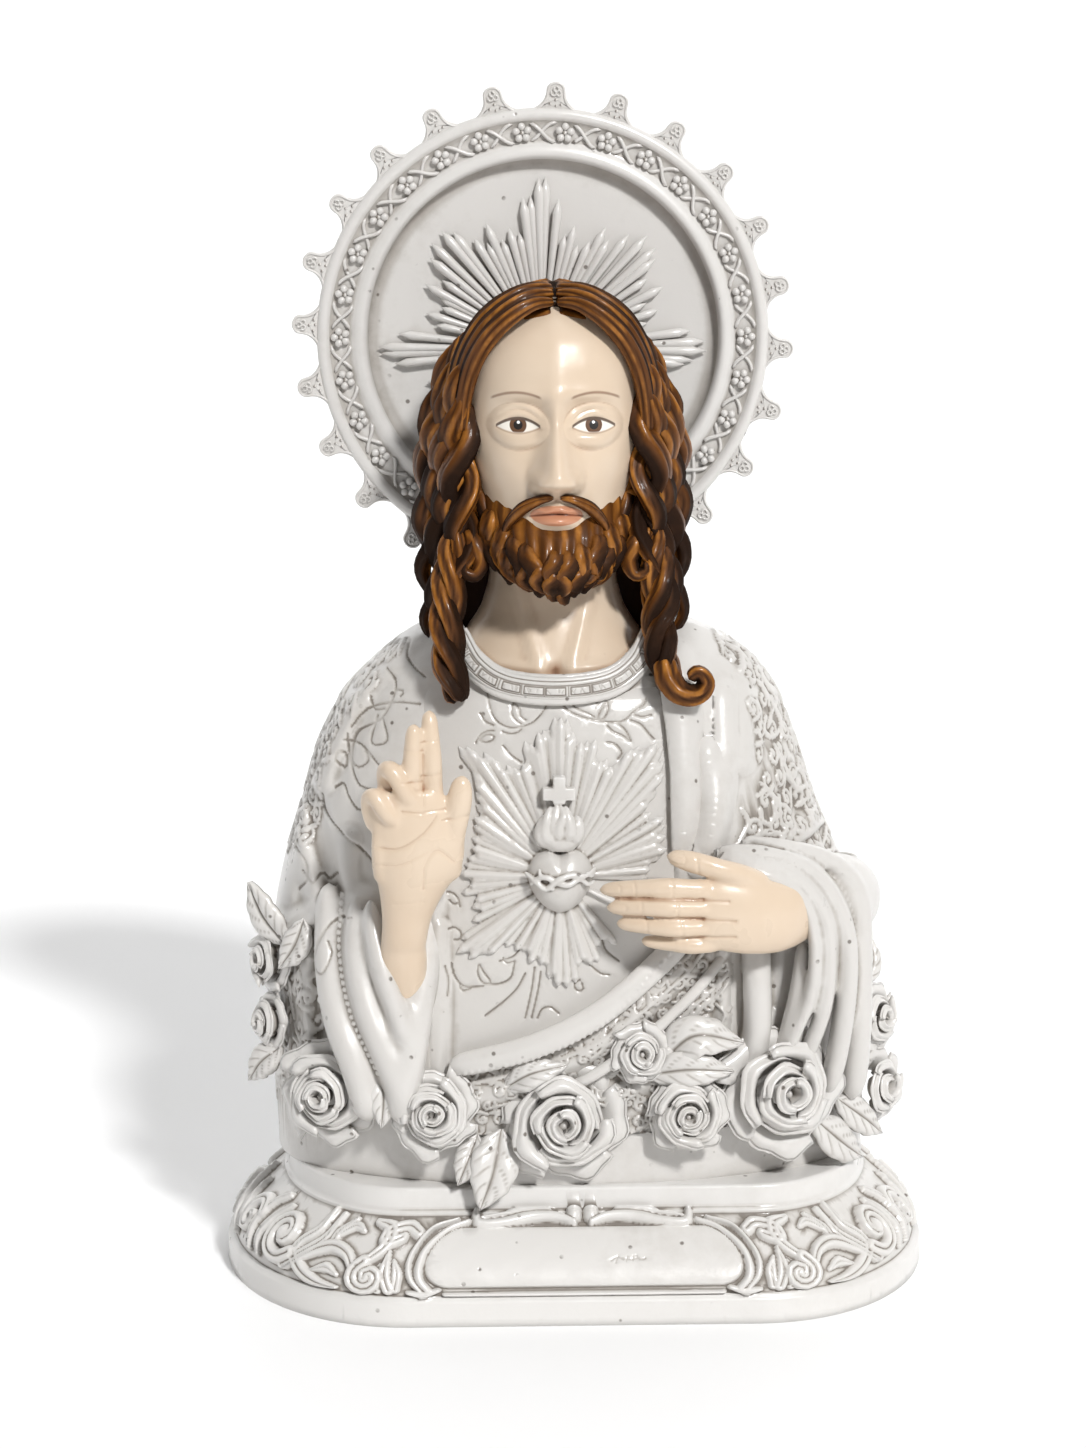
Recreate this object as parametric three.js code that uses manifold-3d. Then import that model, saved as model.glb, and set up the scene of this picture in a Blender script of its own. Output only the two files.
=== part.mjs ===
import * as THREE from 'three'
import Module from 'manifold-3d'
import { mergeVertices } from 'three/addons/utils/BufferGeometryUtils.js'

// Sacred heart half figure, cast in resin in one with its plinth and its garland of roses, and a
// toothed halo disc, cast by itself and fixed behind the head.
// Millimetres, +Z up. The origin is the middle of the plinth's underside, the figure faces -Y,
// and +X is to the viewer's right.

// Plinth
const plinthWidth = 220
const plinthDepth = 150
const plinthStraight = 104
const rimHeight = 8.5
const rimStep = 1.3
const friezeHeight = 21.5
const friezeRun = 17
const bandHeight = 7.5
const scrollPitch = 43
const scrollRadius = 9.5
const scrollThickness = 2.4

// Blank cartouche on the front of the frieze
const plateWidth = 101
const plateHeight = 18
const plateThickness = 4.4
const plateBorder = 1.7
const plateBorderLift = 1.2

// Figure, from the top of the plinth to the crown of the hair. Its pose, proportions and carving
// are set out on a grid of gridHeight steps to that height.
const figureHeight = 270.5
const figureShift = -7.5
const gridHeight = 270.5

// Halo
const haloDiameter = 141
const haloThickness = 9
const toothCount = 24
const toothLength = 8
const toothWidth = 9.5
const toothThickness = 5.5
const rimWidth = 4.2
const channelWidth = 9.5
const channelDepth = 1.8
const innerRingWidth = 4
const recessDepth = 5.5
const flowerCount = 34
const flowerRadius = 2.9
const haloRayThickness = 2.1
const haloRayLength = 48
const bossDiameter = 26
const haloGap = 0.3

const leafThickness = 1.8

const step = figureHeight / gridHeight
const plinthTop = rimHeight + friezeHeight + bandHeight
const toViewer = new THREE.Vector3(0, -1, 0)

const wasm = await Module()
wasm.setup()

// A closed geometry as a solid that can be joined and cut, its faces turned outwards
function solid(geometry) {
  const bare = geometry.clone()
  bare.deleteAttribute('normal')
  bare.deleteAttribute('uv')
  const welded = mergeVertices(bare, 1e-4)
  const corner = (i) => new THREE.Vector3().fromBufferAttribute(welded.attributes.position, i)
  const faces = []
  let volume = 0
  for (let i = 0; i < welded.index.count; i += 3) {
    const [a, b, c] = welded.index.array.slice(i, i + 3)
    if (a === b || b === c || c === a) continue
    faces.push([a, b, c])
    volume += corner(a).dot(corner(b).cross(corner(c)))
  }
  return new wasm.Manifold(new wasm.Mesh({
    numProp: 3,
    vertProperties: new Float32Array(welded.attributes.position.array),
    triVerts: new Uint32Array(faces.flatMap(([a, b, c]) => (volume > 0 ? [a, b, c] : [a, c, b]))),
  }))
}

function join(bodies) {
  let rest = [bodies].flat(Infinity)
  while (rest.length > 1) {
    const next = []
    for (let i = 0; i < rest.length; i += 2) {
      next.push(i + 1 < rest.length ? rest[i].add(rest[i + 1]) : rest[i])
    }
    rest = next
  }
  return rest[0]
}

// Joins can leave specks and closed pores where surfaces graze each other
function withoutSpecks(body) {
  return join(body.decompose().filter((piece) => piece.volume() > 1))
}

// Joins also leave slivers along their seams. Edges shorter than shortest are drawn together where
// the skin stays closed and no face turns over, and longer ones, up to flat, where it barely bends.
function withoutSlivers(body, shortest, flat) {
  const { vertProperties, triVerts } = body.getMesh()
  const points = []
  for (let i = 0; i < vertProperties.length; i += 3) {
    points.push(new THREE.Vector3(vertProperties[i], vertProperties[i + 1], vertProperties[i + 2]))
  }
  const faces = []
  const facesOf = points.map(() => new Set())
  for (let i = 0; i < triVerts.length; i += 3) {
    const face = [triVerts[i], triVerts[i + 1], triVerts[i + 2]]
    face.forEach((p) => facesOf[p].add(faces.length))
    faces.push(face)
  }
  const neighbours = (p) => new Set([...facesOf[p]].flatMap((f) => faces[f]).filter((q) => q !== p))
  const normal = ([a, b, c]) => {
    return new THREE.Vector3().subVectors(b, a).cross(new THREE.Vector3().subVectors(c, a)).normalize()
  }
  const canMove = (kept, gone) => {
    const length = points[kept].distanceTo(points[gone])
    if (length > flat) return false
    const likeness = length > shortest ? 0.98 : 0.5
    const shared = [...neighbours(kept)].filter((p) => neighbours(gone).has(p))
    if (shared.length !== 2) return false
    const around = [...facesOf[gone]]
    const normalOf = (f) => normal(faces[f].map((p) => points[p]))
    const turned = around.filter((f) => faces[f].includes(kept)).map(normalOf)
    return around.filter((f) => !faces[f].includes(kept)).every((f) => {
      const before = normalOf(f)
      const after = normal(faces[f].map((p) => points[p === gone ? kept : p]))
      if (before.dot(after) < likeness) return false
      return length <= shortest || turned.every((n) => n.dot(before) > 0.9)
    })
  }
  const drawTogether = (kept, gone) => {
    for (const f of [...facesOf[gone]]) {
      const doubled = faces[f].includes(kept)
      faces[f].forEach((p) => doubled && facesOf[p].delete(f))
      facesOf[gone].delete(f)
      faces[f] = doubled ? null : faces[f].map((p) => (p === gone ? kept : p))
      if (!doubled) facesOf[kept].add(f)
    }
  }
  for (let changed = true; changed;) {
    changed = false
    for (let f = 0; f < faces.length; f++) {
      for (let k = 0; k < 3 && faces[f]; k++) {
        const [a, b] = [faces[f][k], faces[f][(k + 1) % 3]]
        const way = canMove(a, b) ? [a, b] : [b, a]
        if (!canMove(...way)) continue
        drawTogether(...way)
        changed = true
      }
    }
  }
  const geometry = new THREE.BufferGeometry().setFromPoints(points)
  geometry.setIndex(faces.filter(Boolean).flat())
  return solid(geometry)
}

// A closed skin through rings of points, every ring with as many points, its ends closed by fans
function loft(rings) {
  const sides = rings[0].length
  const middle = (ring) => ring.reduce((sum, p) => sum.add(p), new THREE.Vector3()).divideScalar(sides)
  const points = [...rings.flat(), middle(rings[0]), middle(rings.at(-1))]
  const firstEnd = rings.length * sides
  const faces = []
  for (let k = 0; k < sides; k++) {
    const next = (k + 1) % sides
    for (let r = 0; r + 1 < rings.length; r++) {
      const low = r * sides
      const high = low + sides
      faces.push([low + k, low + next, high + next], [low + k, high + next, high + k])
    }
    const last = firstEnd - sides
    faces.push([firstEnd, next, k], [firstEnd + 1, last + k, last + next])
  }
  const geometry = new THREE.BufferGeometry().setFromPoints(points)
  geometry.setIndex(faces.flat())
  return solid(geometry)
}

// A tapering strand along a smooth curve. Its section is an oval, depth towards the side given by
// out, and width across it.
function strand(path, width, depth, { sides = 5, steps = 6, out = toViewer, twist = 0 } = {}) {
  const curve = new THREE.CatmullRomCurve3(path, false, 'centripetal')
  const sizeAt = (size, t) => (typeof size === 'function' ? size(t) : size)
  const rings = []
  for (let i = 0; i <= steps; i++) {
    const t = i / steps
    const along = curve.getTangent(t)
    const up = out.clone().addScaledVector(along, -out.dot(along)).normalize()
    const across = new THREE.Vector3().crossVectors(along, up)
    const ring = []
    for (let k = 0; k < sides; k++) {
      const a = (2 * Math.PI * k) / sides + twist * t
      ring.push(curve.getPoint(t)
        .addScaledVector(up, Math.cos(a) * sizeAt(depth, t))
        .addScaledVector(across, Math.sin(a) * sizeAt(width, t)))
    }
    rings.push(ring)
  }
  return loft(rings)
}

const taper = (from, to) => (t) => (from + (to - from) * t) * step
const swell = (from, middle, to) => (t) => {
  return ((1 - t) * (1 - 2 * t) * from + 4 * t * (1 - t) * middle + t * (2 * t - 1) * to) * step
}

// A place on the figure's grid, x across, y in depth and z up from the plinth's top
function place(x, y, z) {
  return new THREE.Vector3(figureShift + x * step, y * step, plinthTop + z * step)
}
const places = (list) => list.map((p) => place(...p))
const mirrored = (list) => list.map(([x, y, z]) => [-x, y, z])

// Value at z between rows of a table, each row [z, value, value, ...]
function between(table, z) {
  let i = 1
  while (i < table.length - 1 && z > table[i][0]) i++
  const [low, high] = [table[i - 1], table[i]]
  const t = Math.min(1, Math.max(0, (z - low[0]) / (high[0] - low[0])))
  return low.slice(1).map((value, k) => value + (high[k + 1] - value) * t)
}

// Rings of an upright body from a table of [z, left, right, front, back] half sizes
function uprightBody(table, { sides, fullness, middleX = 0, middleY = 0 }) {
  const bend = (value) => Math.sign(value) * Math.abs(value) ** (2 / fullness)
  return loft(table.map(([z, left, right, front, back]) => {
    const ring = []
    for (let k = 0; k < sides; k++) {
      const a = (2 * Math.PI * k) / sides
      const x = bend(Math.cos(a)) * (Math.cos(a) > 0 ? right : left)
      const y = bend(Math.sin(a)) * (Math.sin(a) > 0 ? back : front)
      ring.push(place(middleX + x, middleY + y, z))
    }
    return ring
  }))
}

// The oval outline of the plinth, straight in the middle of front and back, drawn in by inset.
// It starts at the middle of the front and runs to the viewer's right.
function ovalOutline(inset) {
  const half = plinthStraight / 2
  const across = plinthWidth / 2 - half - inset
  const deep = plinthDepth / 2 - inset
  const outline = new THREE.Path()
  outline.moveTo(0, -deep)
  outline.lineTo(half, -deep)
  outline.absellipse(half, 0, across, deep, -Math.PI / 2, Math.PI / 2)
  outline.lineTo(-half, deep)
  outline.absellipse(-half, 0, across, deep, Math.PI / 2, 1.5 * Math.PI)
  outline.lineTo(0, -deep)
  return outline
}

// The frieze rises upright from the rim and rolls inwards below the band
const friezeInset = (share) => rimStep + friezeRun * (1 - Math.cos((share * Math.PI) / 2))
const slopeLength = Math.hypot(friezeHeight, friezeRun)
const outlineLength = ovalOutline(rimStep).getLength()

// A point on the frieze: along in mm from the front's middle, up the slope in mm, out by lift
function onFrieze(along, up, lift) {
  const share = Math.min(1, Math.max(0, up / slopeLength))
  const outline = ovalOutline(friezeInset(share) - lift * 0.8)
  const turn = (((along / outlineLength) % 1) + 1) % 1
  const p = outline.getPointAt(turn)
  return new THREE.Vector3(p.x, p.y, rimHeight + friezeHeight * share + lift * 0.6 * share)
}

function plinthBody() {
  const sides = 36
  const levels = [[0, 0], [rimHeight - 1, 0], [rimHeight, rimStep]]
  for (const share of [0.55, 1]) {
    levels.push([rimHeight + friezeHeight * share, friezeInset(share)])
  }
  const bandInset = friezeInset(1) + 0.6
  levels.push([rimHeight + friezeHeight + 0.6, bandInset], [plinthTop, bandInset])
  return loft(levels.map(([z, inset]) => {
    const ring = ovalOutline(inset).getSpacedPoints(sides).slice(0, sides)
    return ring.map((p) => new THREE.Vector3(p.x, p.y, z))
  }))
}

// One scroll of the frieze: a coil that runs out into a leaf, side 1 or -1
function scroll(along, side) {
  const route = []
  for (const turn of [-1.1, -0.8, -0.5, -0.22, 0.05]) {
    const a = 2 * Math.PI * turn
    const r = scrollRadius * (1 + 0.7 * turn)
    route.push([along + r * Math.cos(a), slopeLength * 0.46 + r * Math.sin(a), 0.3])
  }
  route.push([along + scrollPitch * 0.4, slopeLength * 0.72, 0.2])
  route.push([along + scrollPitch * 0.65, slopeLength * 0.9, 0])
  const leafStart = 0.6
  const width = (t) => {
    if (t < leafStart) return scrollThickness * (0.55 + 0.7 * t)
    return scrollThickness * (0.97 + 36 * (t - leafStart) * (1 - t) - 0.9 * (t - leafStart))
  }
  const foot = onFrieze(side * along, slopeLength / 2, 0)
  const out = onFrieze(side * along, slopeLength / 2, scrollThickness).sub(foot).normalize()
  const path = route.map(([a, up, lift]) => onFrieze(side * a, up, lift))
  return strand(path, width, scrollThickness * 0.85, { sides: 3, steps: 9, out })
}

function frieze() {
  const first = plateWidth / 2 + scrollRadius + 6
  const perSide = Math.floor((outlineLength / 2 - first) / scrollPitch)
  const parts = []
  for (let i = 0; i < perSide; i++) {
    parts.push(scroll(first + i * scrollPitch, 1), scroll(first + i * scrollPitch, -1))
  }
  return parts
}

// Points round a plate with round ends, x along it and y across it
function roundEnds(width, height) {
  const half = (width - height) / 2
  const steps = 5
  const points = []
  for (const side of [1, -1]) {
    for (let i = 0; i <= steps; i++) {
      const a = side * (-Math.PI / 2 + (Math.PI * i) / steps)
      points.push([side * (half + (height / 2) * Math.cos(a)), (height / 2) * Math.sin(a)])
    }
  }
  return points
}

function cartouche() {
  const foot = onFrieze(0, slopeLength * 0.12, 0)
  const head = onFrieze(0, slopeLength * 0.88, 0)
  const lean = new THREE.Vector3().subVectors(head, foot).normalize()
  const outwards = new THREE.Vector3(1, 0, 0).cross(lean)
  const middle = foot.clone().add(head).divideScalar(2)
  const border = [
    [0, -plateThickness], [0, plateBorderLift], [plateBorder, plateBorderLift], [plateBorder + 0.3, 0],
  ]
  return loft(border.map(([inset, lift]) => {
    return roundEnds(plateWidth - 2 * inset, plateHeight - 2 * inset).map(([x, y]) => {
      const out = plateThickness / 2 + lift
      return middle.clone().addScaledVector(lean, y).addScaledVector(outwards, out).setX(x)
    })
  }))
}

// Body under the robe: z, then half sizes to the left, right, front and back
const bodyTable = [
  [-1, 86, 96, 54, 52],
  [30, 87, 97.5, 55, 52],
  [58, 87.5, 98, 53, 50],
  [78, 86, 99, 52, 48],
  [92, 83, 90, 51, 46],
  [108, 78, 82.5, 50, 44],
  [128, 72.5, 76, 47, 40],
  [144, 64.5, 70, 43, 33],
  [155, 53.5, 62, 38, 26],
  [164, 42, 48, 29, 19],
  [170, 26, 28, 20, 11],
]
const bodyFullness = 2.35

// How far forward the robe's surface lies at x and z
function robeFront(x, z) {
  const [left, right, front] = between(bodyTable, z)
  const share = Math.min(0.98, Math.abs(x) / (x > 0 ? right : left))
  return -front * (1 - share ** bodyFullness) ** (1 / bodyFullness) - drape(x, z)
}

// A fold lying on the robe, along points [x, z] or [x, z, lift]
function fold(path, width, depth, options) {
  const points = path.map(([x, z, lift = 0]) => place(x, robeFront(x, z) - lift, z))
  return strand(points, width, depth, options)
}

// Broad forms of the cloth, each [width, lift, route] along points [x, z]
const drapery = [
  // plain mantle falling from the shoulder on the viewer's right, with two folds in it
  [19, 4, [[52, 162], [51, 128], [52, 96]]],
  [8, 6, [[39, 160], [36, 132], [37, 98]]],
  [8, 5, [[64, 158], [62, 130], [61, 104]]],
  [7, 4, [[76, 146], [80, 122], [78, 102]]],
  // mantle edge from the neck down the arm on the viewer's left, and the band beside it
  [8, 6, [[-38, 164], [-56, 146], [-66, 122], [-76, 92]]],
  [7, 4, [[-48, 166], [-70, 140], [-80, 110]]],
  [7, 5, [[-33, 158], [-27, 140], [-24, 118]]],
  // upright folds beside the sleeve, below the hand and at the waist
  [7, 5, [[-30, 92], [-27, 66], [-30, 40]]],
  [7, 4, [[-13, 66], [-12, 52]]],
  [8, 5, [[47, 82], [47, 62], [46, 36]]],
  [7, 4.5, [[61, 82], [61, 60], [60, 36]]],
  // cloth hanging from the roll across the waist
  [12, 3.5, [[34, 58], [6, 42], [-30, 26]]],
]

function distanceTo(route, x, z) {
  let nearest = Infinity
  for (let i = 1; i < route.length; i++) {
    const [ax, az] = route[i - 1]
    const [bx, bz] = route[i]
    const t = ((x - ax) * (bx - ax) + (z - az) * (bz - az)) / ((bx - ax) ** 2 + (bz - az) ** 2)
    const share = Math.min(1, Math.max(0, t))
    nearest = Math.min(nearest, Math.hypot(x - ax - share * (bx - ax), z - az - share * (bz - az)))
  }
  return nearest
}

// How far the drapery lifts the robe's front at x and z
function drape(x, z) {
  return drapery.reduce((sum, [width, lift, route]) => {
    const share = Math.min(1, distanceTo(route, x, z) / width)
    return sum + lift * (1 - share * share) ** 2 * (width > 10 ? 1.2 : 1)
  }, 0)
}

function robeBody() {
  const levels = [-1, 18, 34, 48, 62, 76, 90, 104, 118, 132, 145, 155, 163, 170]
  const frontPoints = 26
  const backPoints = 7
  return loft(levels.map((z) => {
    const [left, right, front, back] = between(bodyTable, z)
    const ring = []
    const add = (share, depth, lifted) => {
      const x = share * (share > 0 ? right : left)
      const y = depth * (1 - Math.abs(share) ** bodyFullness) ** (1 / bodyFullness)
      ring.push(place(x, y - (lifted ? drape(x, z) * (1 - share ** 6) : 0), z))
    }
    for (let i = 0; i <= frontPoints; i++) {
      const t = (i / frontPoints - 0.5) * Math.PI
      add(i % frontPoints ? 0.5 * Math.sin(t) + t / Math.PI : Math.sign(t), -front, true)
    }
    for (let i = 1; i < backPoints; i++) {
      add(Math.cos((i / backPoints) * Math.PI), back, false)
    }
    return ring
  }))
}

function robe() {
  // the mantle's rolled edge drawn across the waist
  const roll = [[40, 78, 2], [14, 56, 4], [-8, 45, 4], [-34, 38, 3]]
  // cloth gathered round the elbow on the viewer's left
  const gather = [[-83, 74, 2], [-74, 79, 6], [-60, 88, 4]]
  return [
    robeBody(),
    fold(roll, swell(3, 4, 3), swell(3, 4.5, 3), { sides: 5, steps: 6 }),
    fold(gather, taper(4, 5), taper(4, 4), { sides: 4, steps: 3 }),
    collar(),
    leftSleeve(),
    rightSleeve(),
  ]
}

function collar() {
  const halfLine = [[0, -45, 150], [12, -43, 151], [23, -38, 156], [30, -32, 163]]
  const line = [...mirrored(halfLine.slice(1)).reverse(), ...halfLine]
  return strand(places(line), 3.4 * step, 2.6 * step, { sides: 4, steps: 8 })
}

// Wide sleeve hanging in V folds round the raised forearm
function leftSleeve() {
  const arm = [[-60, -30, 86], [-55, -44, 60], [-50, -50, 24]]
  const hem = [[-63, -42, 90], [-63, -55, 70], [-57, -62, 48], [-47, -62, 35], [-38, -60, 46], [-34, -52, 74]]
  const second = [[-58, -44, 88], [-57, -56, 70], [-51, -62, 54], [-45, -62, 47], [-41, -58, 58]]
  const outer = [[-72, -34, 86], [-71, -48, 66], [-64, -56, 42], [-50, -58, 20]]
  return [
    strand(places(arm), swell(12, 13, 9), swell(12, 10, 8), { sides: 7, steps: 3 }),
    strand(places(hem), swell(3, 5, 3), swell(4, 5, 3), { sides: 5, steps: 8 }),
    strand(places(second), swell(2, 3.4, 2), swell(4, 5, 3), { sides: 4, steps: 6 }),
    strand(places(outer), swell(4, 5.5, 4), swell(4, 5, 4), { sides: 4, steps: 4 }),
  ]
}

// Cuff and folds round the wrist of the other arm
function rightSleeve() {
  const arm = [[90, -18, 78], [84, -34, 82], [68, -46, 86]]
  const cuff = [[42, -56, 99], [58, -60, 101], [73, -58, 93], [81, -54, 74], [82, -50, 54], [80, -48, 36]]
  const inner = [[58, -58, 96], [70, -58, 88], [74, -56, 72], [72, -53, 54], [66, -52, 38]]
  const outer = [[62, -46, 104], [84, -44, 96], [92, -42, 76], [91, -40, 52], [88, -40, 30]]
  return [
    strand(places(arm), swell(13, 15, 13), swell(12, 14, 10), { sides: 7, steps: 3 }),
    strand(places(cuff), swell(3, 4.5, 4), swell(3, 5.5, 4), { sides: 5, steps: 8 }),
    strand(places(inner), swell(2.5, 3.5, 3), swell(3, 5, 4), { sides: 4, steps: 6 }),
    strand(places(outer), swell(4, 6, 5), swell(4, 6, 5), { sides: 5, steps: 6 }),
  ]
}

// Heart on the chest with its band of thorns, flame, cross and sunburst
const heartX = 0.6
const heartZ = 95

// One group of rays side by side, as a ridged fan that widens from the heart to its stepped tips
function rayFan(angle, reach, count) {
  const fan = THREE.MathUtils.degToRad(4.6)
  const ridge = 1.7
  const rings = [11 / reach, 1].map((share) => {
    const top = []
    for (let i = 0; i <= 2 * count; i++) {
      const fromMiddle = (i - count) / 2
      const a = THREE.MathUtils.degToRad(angle) + fromMiddle * fan
      const tip = 1 - 0.05 * Math.abs(Math.round(fromMiddle * 0.99)) * (share === 1 ? 1 : 0)
      const x = heartX + Math.cos(a) * reach * share * tip
      const z = heartZ + Math.sin(a) * reach * share * tip
      const lift = i % 2 ? ridge + 0.9 * (1 - share) : 0.5
      top.push([x, z, lift])
    }
    const bottom = [top.at(-1), top[0]].map(([x, z]) => [x, z, -2.5])
    return [...top, ...bottom].map(([x, z, lift]) => place(x, robeFront(x, z) - lift, z))
  })
  return loft(rings)
}

function sunburst() {
  const groups = [
    [90, 48, 5], [62, 43, 4], [118, 42, 4], [40, 46, 4], [141, 51, 4], [13, 34, 4],
    [168, 33, 4], [196, 32, 3], [222, 40, 4], [270, 36, 5], [300, 36, 3],
  ]
  return groups.map((group) => rayFan(...group))
}

function heart() {
  const front = robeFront(heartX, heartZ)
  const at = (x, y, z) => place(heartX + x, front + y, heartZ + z)
  const outline = new THREE.Shape()
  outline.moveTo(0, -9)
  outline.bezierCurveTo(4, -7, 10, -1, 8.6, 3.6)
  outline.bezierCurveTo(7.4, 8, 2, 8.4, 0, 5)
  outline.bezierCurveTo(-2, 8.4, -7.4, 8, -8.6, 3.6)
  outline.bezierCurveTo(-10, -1, -4, -7, 0, -9)
  const body = new THREE.ExtrudeGeometry(outline, {
    depth: 4, curveSegments: 3, bevelSegments: 1, bevelSize: 2.2, bevelThickness: 3.4,
  })
  body.rotateX(Math.PI / 2)
  body.scale(step, step, step)
  const seat = at(0, -1, 0)
  body.translate(seat.x, seat.y, seat.z)
  const flame = [[0, 0, 1], [-3.4, -1.5, 0.75], [3.2, 1.2, 0.8]].map(([x, bend, tall]) => {
    const path = [at(x, -3, 7), at(x + bend, -4, 7 + 9 * tall), at(x - bend, -3, 7 + 20 * tall)]
    return strand(path, swell(2.4, 3, 0.5), swell(2.4, 2.6, 0.6), { sides: 4, steps: 3 })
  })
  const upright = new THREE.BoxGeometry(3.2 * step, 3.4 * step, 11 * step)
  const arm = new THREE.BoxGeometry(10 * step, 3.4 * step, 3.2 * step)
  const crossAt = at(0, -2.2, 30)
  upright.translate(crossAt.x, crossAt.y, crossAt.z)
  arm.translate(crossAt.x, crossAt.y, crossAt.z - 0.4 * step)
  const band = [at(-10, -6, 1.5), at(-4, -9.2, -1.2), at(4, -9.2, -0.4), at(10, -6, 2)]
  const thorns = strand(band, 1.1 * step, 1.4 * step, { sides: 3, steps: 4 })
  return [solid(body), flame, solid(upright), solid(arm), thorns]
}

// A finger through its joints, with its girth at the root, the middle and the tip
function finger(joints, [root, middle, tip]) {
  const across = swell(root, middle, tip)
  const deep = swell(root * 1.1, middle * 1.1, tip)
  return strand(places(joints), across, deep, { sides: 5, steps: 3 })
}

// Raised hand, palm to the viewer, two fingers up and two curled, on its forearm
function raisedHand() {
  // z, x, half width, half thickness and y of the palm
  const palm = [
    [76, -46, 8, 6.5, -60], [85, -45, 7.5, 6, -62], [93, -43.5, 9.5, 6.5, -64], [102, -41.5, 13, 6.5, -66],
    [112, -41.5, 13.6, 5.6, -67], [120, -44, 12.4, 4.6, -68], [125, -45, 10.4, 3.8, -68],
  ]
  const corners = 8
  const rings = palm.map(([z, x, wide, deep, y]) => {
    const ring = []
    for (let k = 0; k < corners; k++) {
      const a = (2 * Math.PI * k) / corners
      ring.push(place(x + wide * Math.cos(a), y + deep * Math.sin(a), z))
    }
    return ring
  })
  const forearm = [[-48, -44, 46], [-47, -54, 62], [-46, -60, 78]]
  return [
    loft(rings),
    strand(places(forearm), taper(7.5, 8), taper(7.5, 6.5), { sides: 7, steps: 2 }),
    finger([[-36.6, -66, 119], [-37.2, -68, 134], [-38.2, -66, 149]], [2.9, 2.9, 2]),
    finger([[-42.6, -67, 119], [-43.2, -69.5, 132], [-42.4, -69.5, 145.5]], [2.9, 3, 2]),
    finger([[-48.2, -66, 118], [-49, -68.6, 131], [-46.4, -70.8, 128], [-43.4, -70, 121]], [2.9, 3, 2.2]),
    finger([[-53.2, -66, 112], [-54, -68.6, 122.6], [-51.4, -70.8, 121], [-47.6, -70, 116]], [2.8, 2.9, 2.2]),
    finger([[-34, -66, 99], [-30.2, -68, 114], [-28.2, -69, 130]], [5, 4.2, 2.4]),
  ]
}

// Hand laid before the chest, its back to the viewer and its fingers towards the heart
function pointingHand() {
  // x, z, half height, half thickness and y of the back of the hand
  const back = [
    [80, 83, 9, 7, -50], [73, 83.5, 9.6, 6.4, -57], [65, 84.5, 11, 6, -62],
    [56, 86, 11.8, 5.4, -65.5], [48, 87, 11.4, 4.6, -67], [43, 87, 10, 3.8, -67.5],
  ]
  const corners = 8
  const rings = back.map(([x, z, high, deep, y]) => {
    const ring = []
    for (let k = 0; k < corners; k++) {
      const a = (2 * Math.PI * k) / corners
      ring.push(place(x, y + deep * Math.sin(a), z + high * Math.cos(a)))
    }
    return ring
  })
  return [
    loft(rings),
    finger([[45, -67.5, 94.6], [29, -68.5, 95.6], [11.6, -63.5, 93.6]], [2.8, 2.9, 2]),
    finger([[45, -68, 88.8], [30, -69.5, 89.7], [13.6, -65, 88.6]], [2.8, 2.9, 2]),
    finger([[45, -67.5, 83], [32, -69, 83.6], [16.6, -65, 84]], [2.8, 2.9, 2]),
    finger([[48, -66, 77.8], [39, -67.5, 77.4], [24, -65, 78.6]], [2.7, 2.8, 2]),
    finger([[62, -62, 92], [46, -68, 100.8], [31.4, -66, 104.6]], [4, 3.7, 2.2]),
  ]
}

// Head: z, then half sizes to the left, right, front and back of the head's middle
const headTable = [
  [184, 6, 6, 20, 2],
  [187, 11, 11, 30, 8],
  [192, 16, 16, 33, 16],
  [199, 20.5, 20.5, 32.5, 24],
  [206, 23, 23, 31, 28],
  [214, 25, 25, 30, 31],
  [222, 26.4, 26.4, 28.4, 33],
  [229, 27, 27, 27.2, 34.5],
  [236, 27.4, 27.4, 29.6, 35],
  [246, 27.2, 27.2, 29, 34.5],
  [254, 25, 25, 26.4, 32],
  [261, 20, 20, 21, 26],
  [266, 12, 12, 13, 16],
]
const headMiddleY = -15
const headFullness = 2.15

// How far forward the face lies at x and z
function faceFront(x, z) {
  const [left, , front] = between(headTable, z)
  const share = Math.min(0.98, Math.abs(x) / left)
  return headMiddleY - front * (1 - share ** headFullness) ** (1 / headFullness)
}

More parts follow.
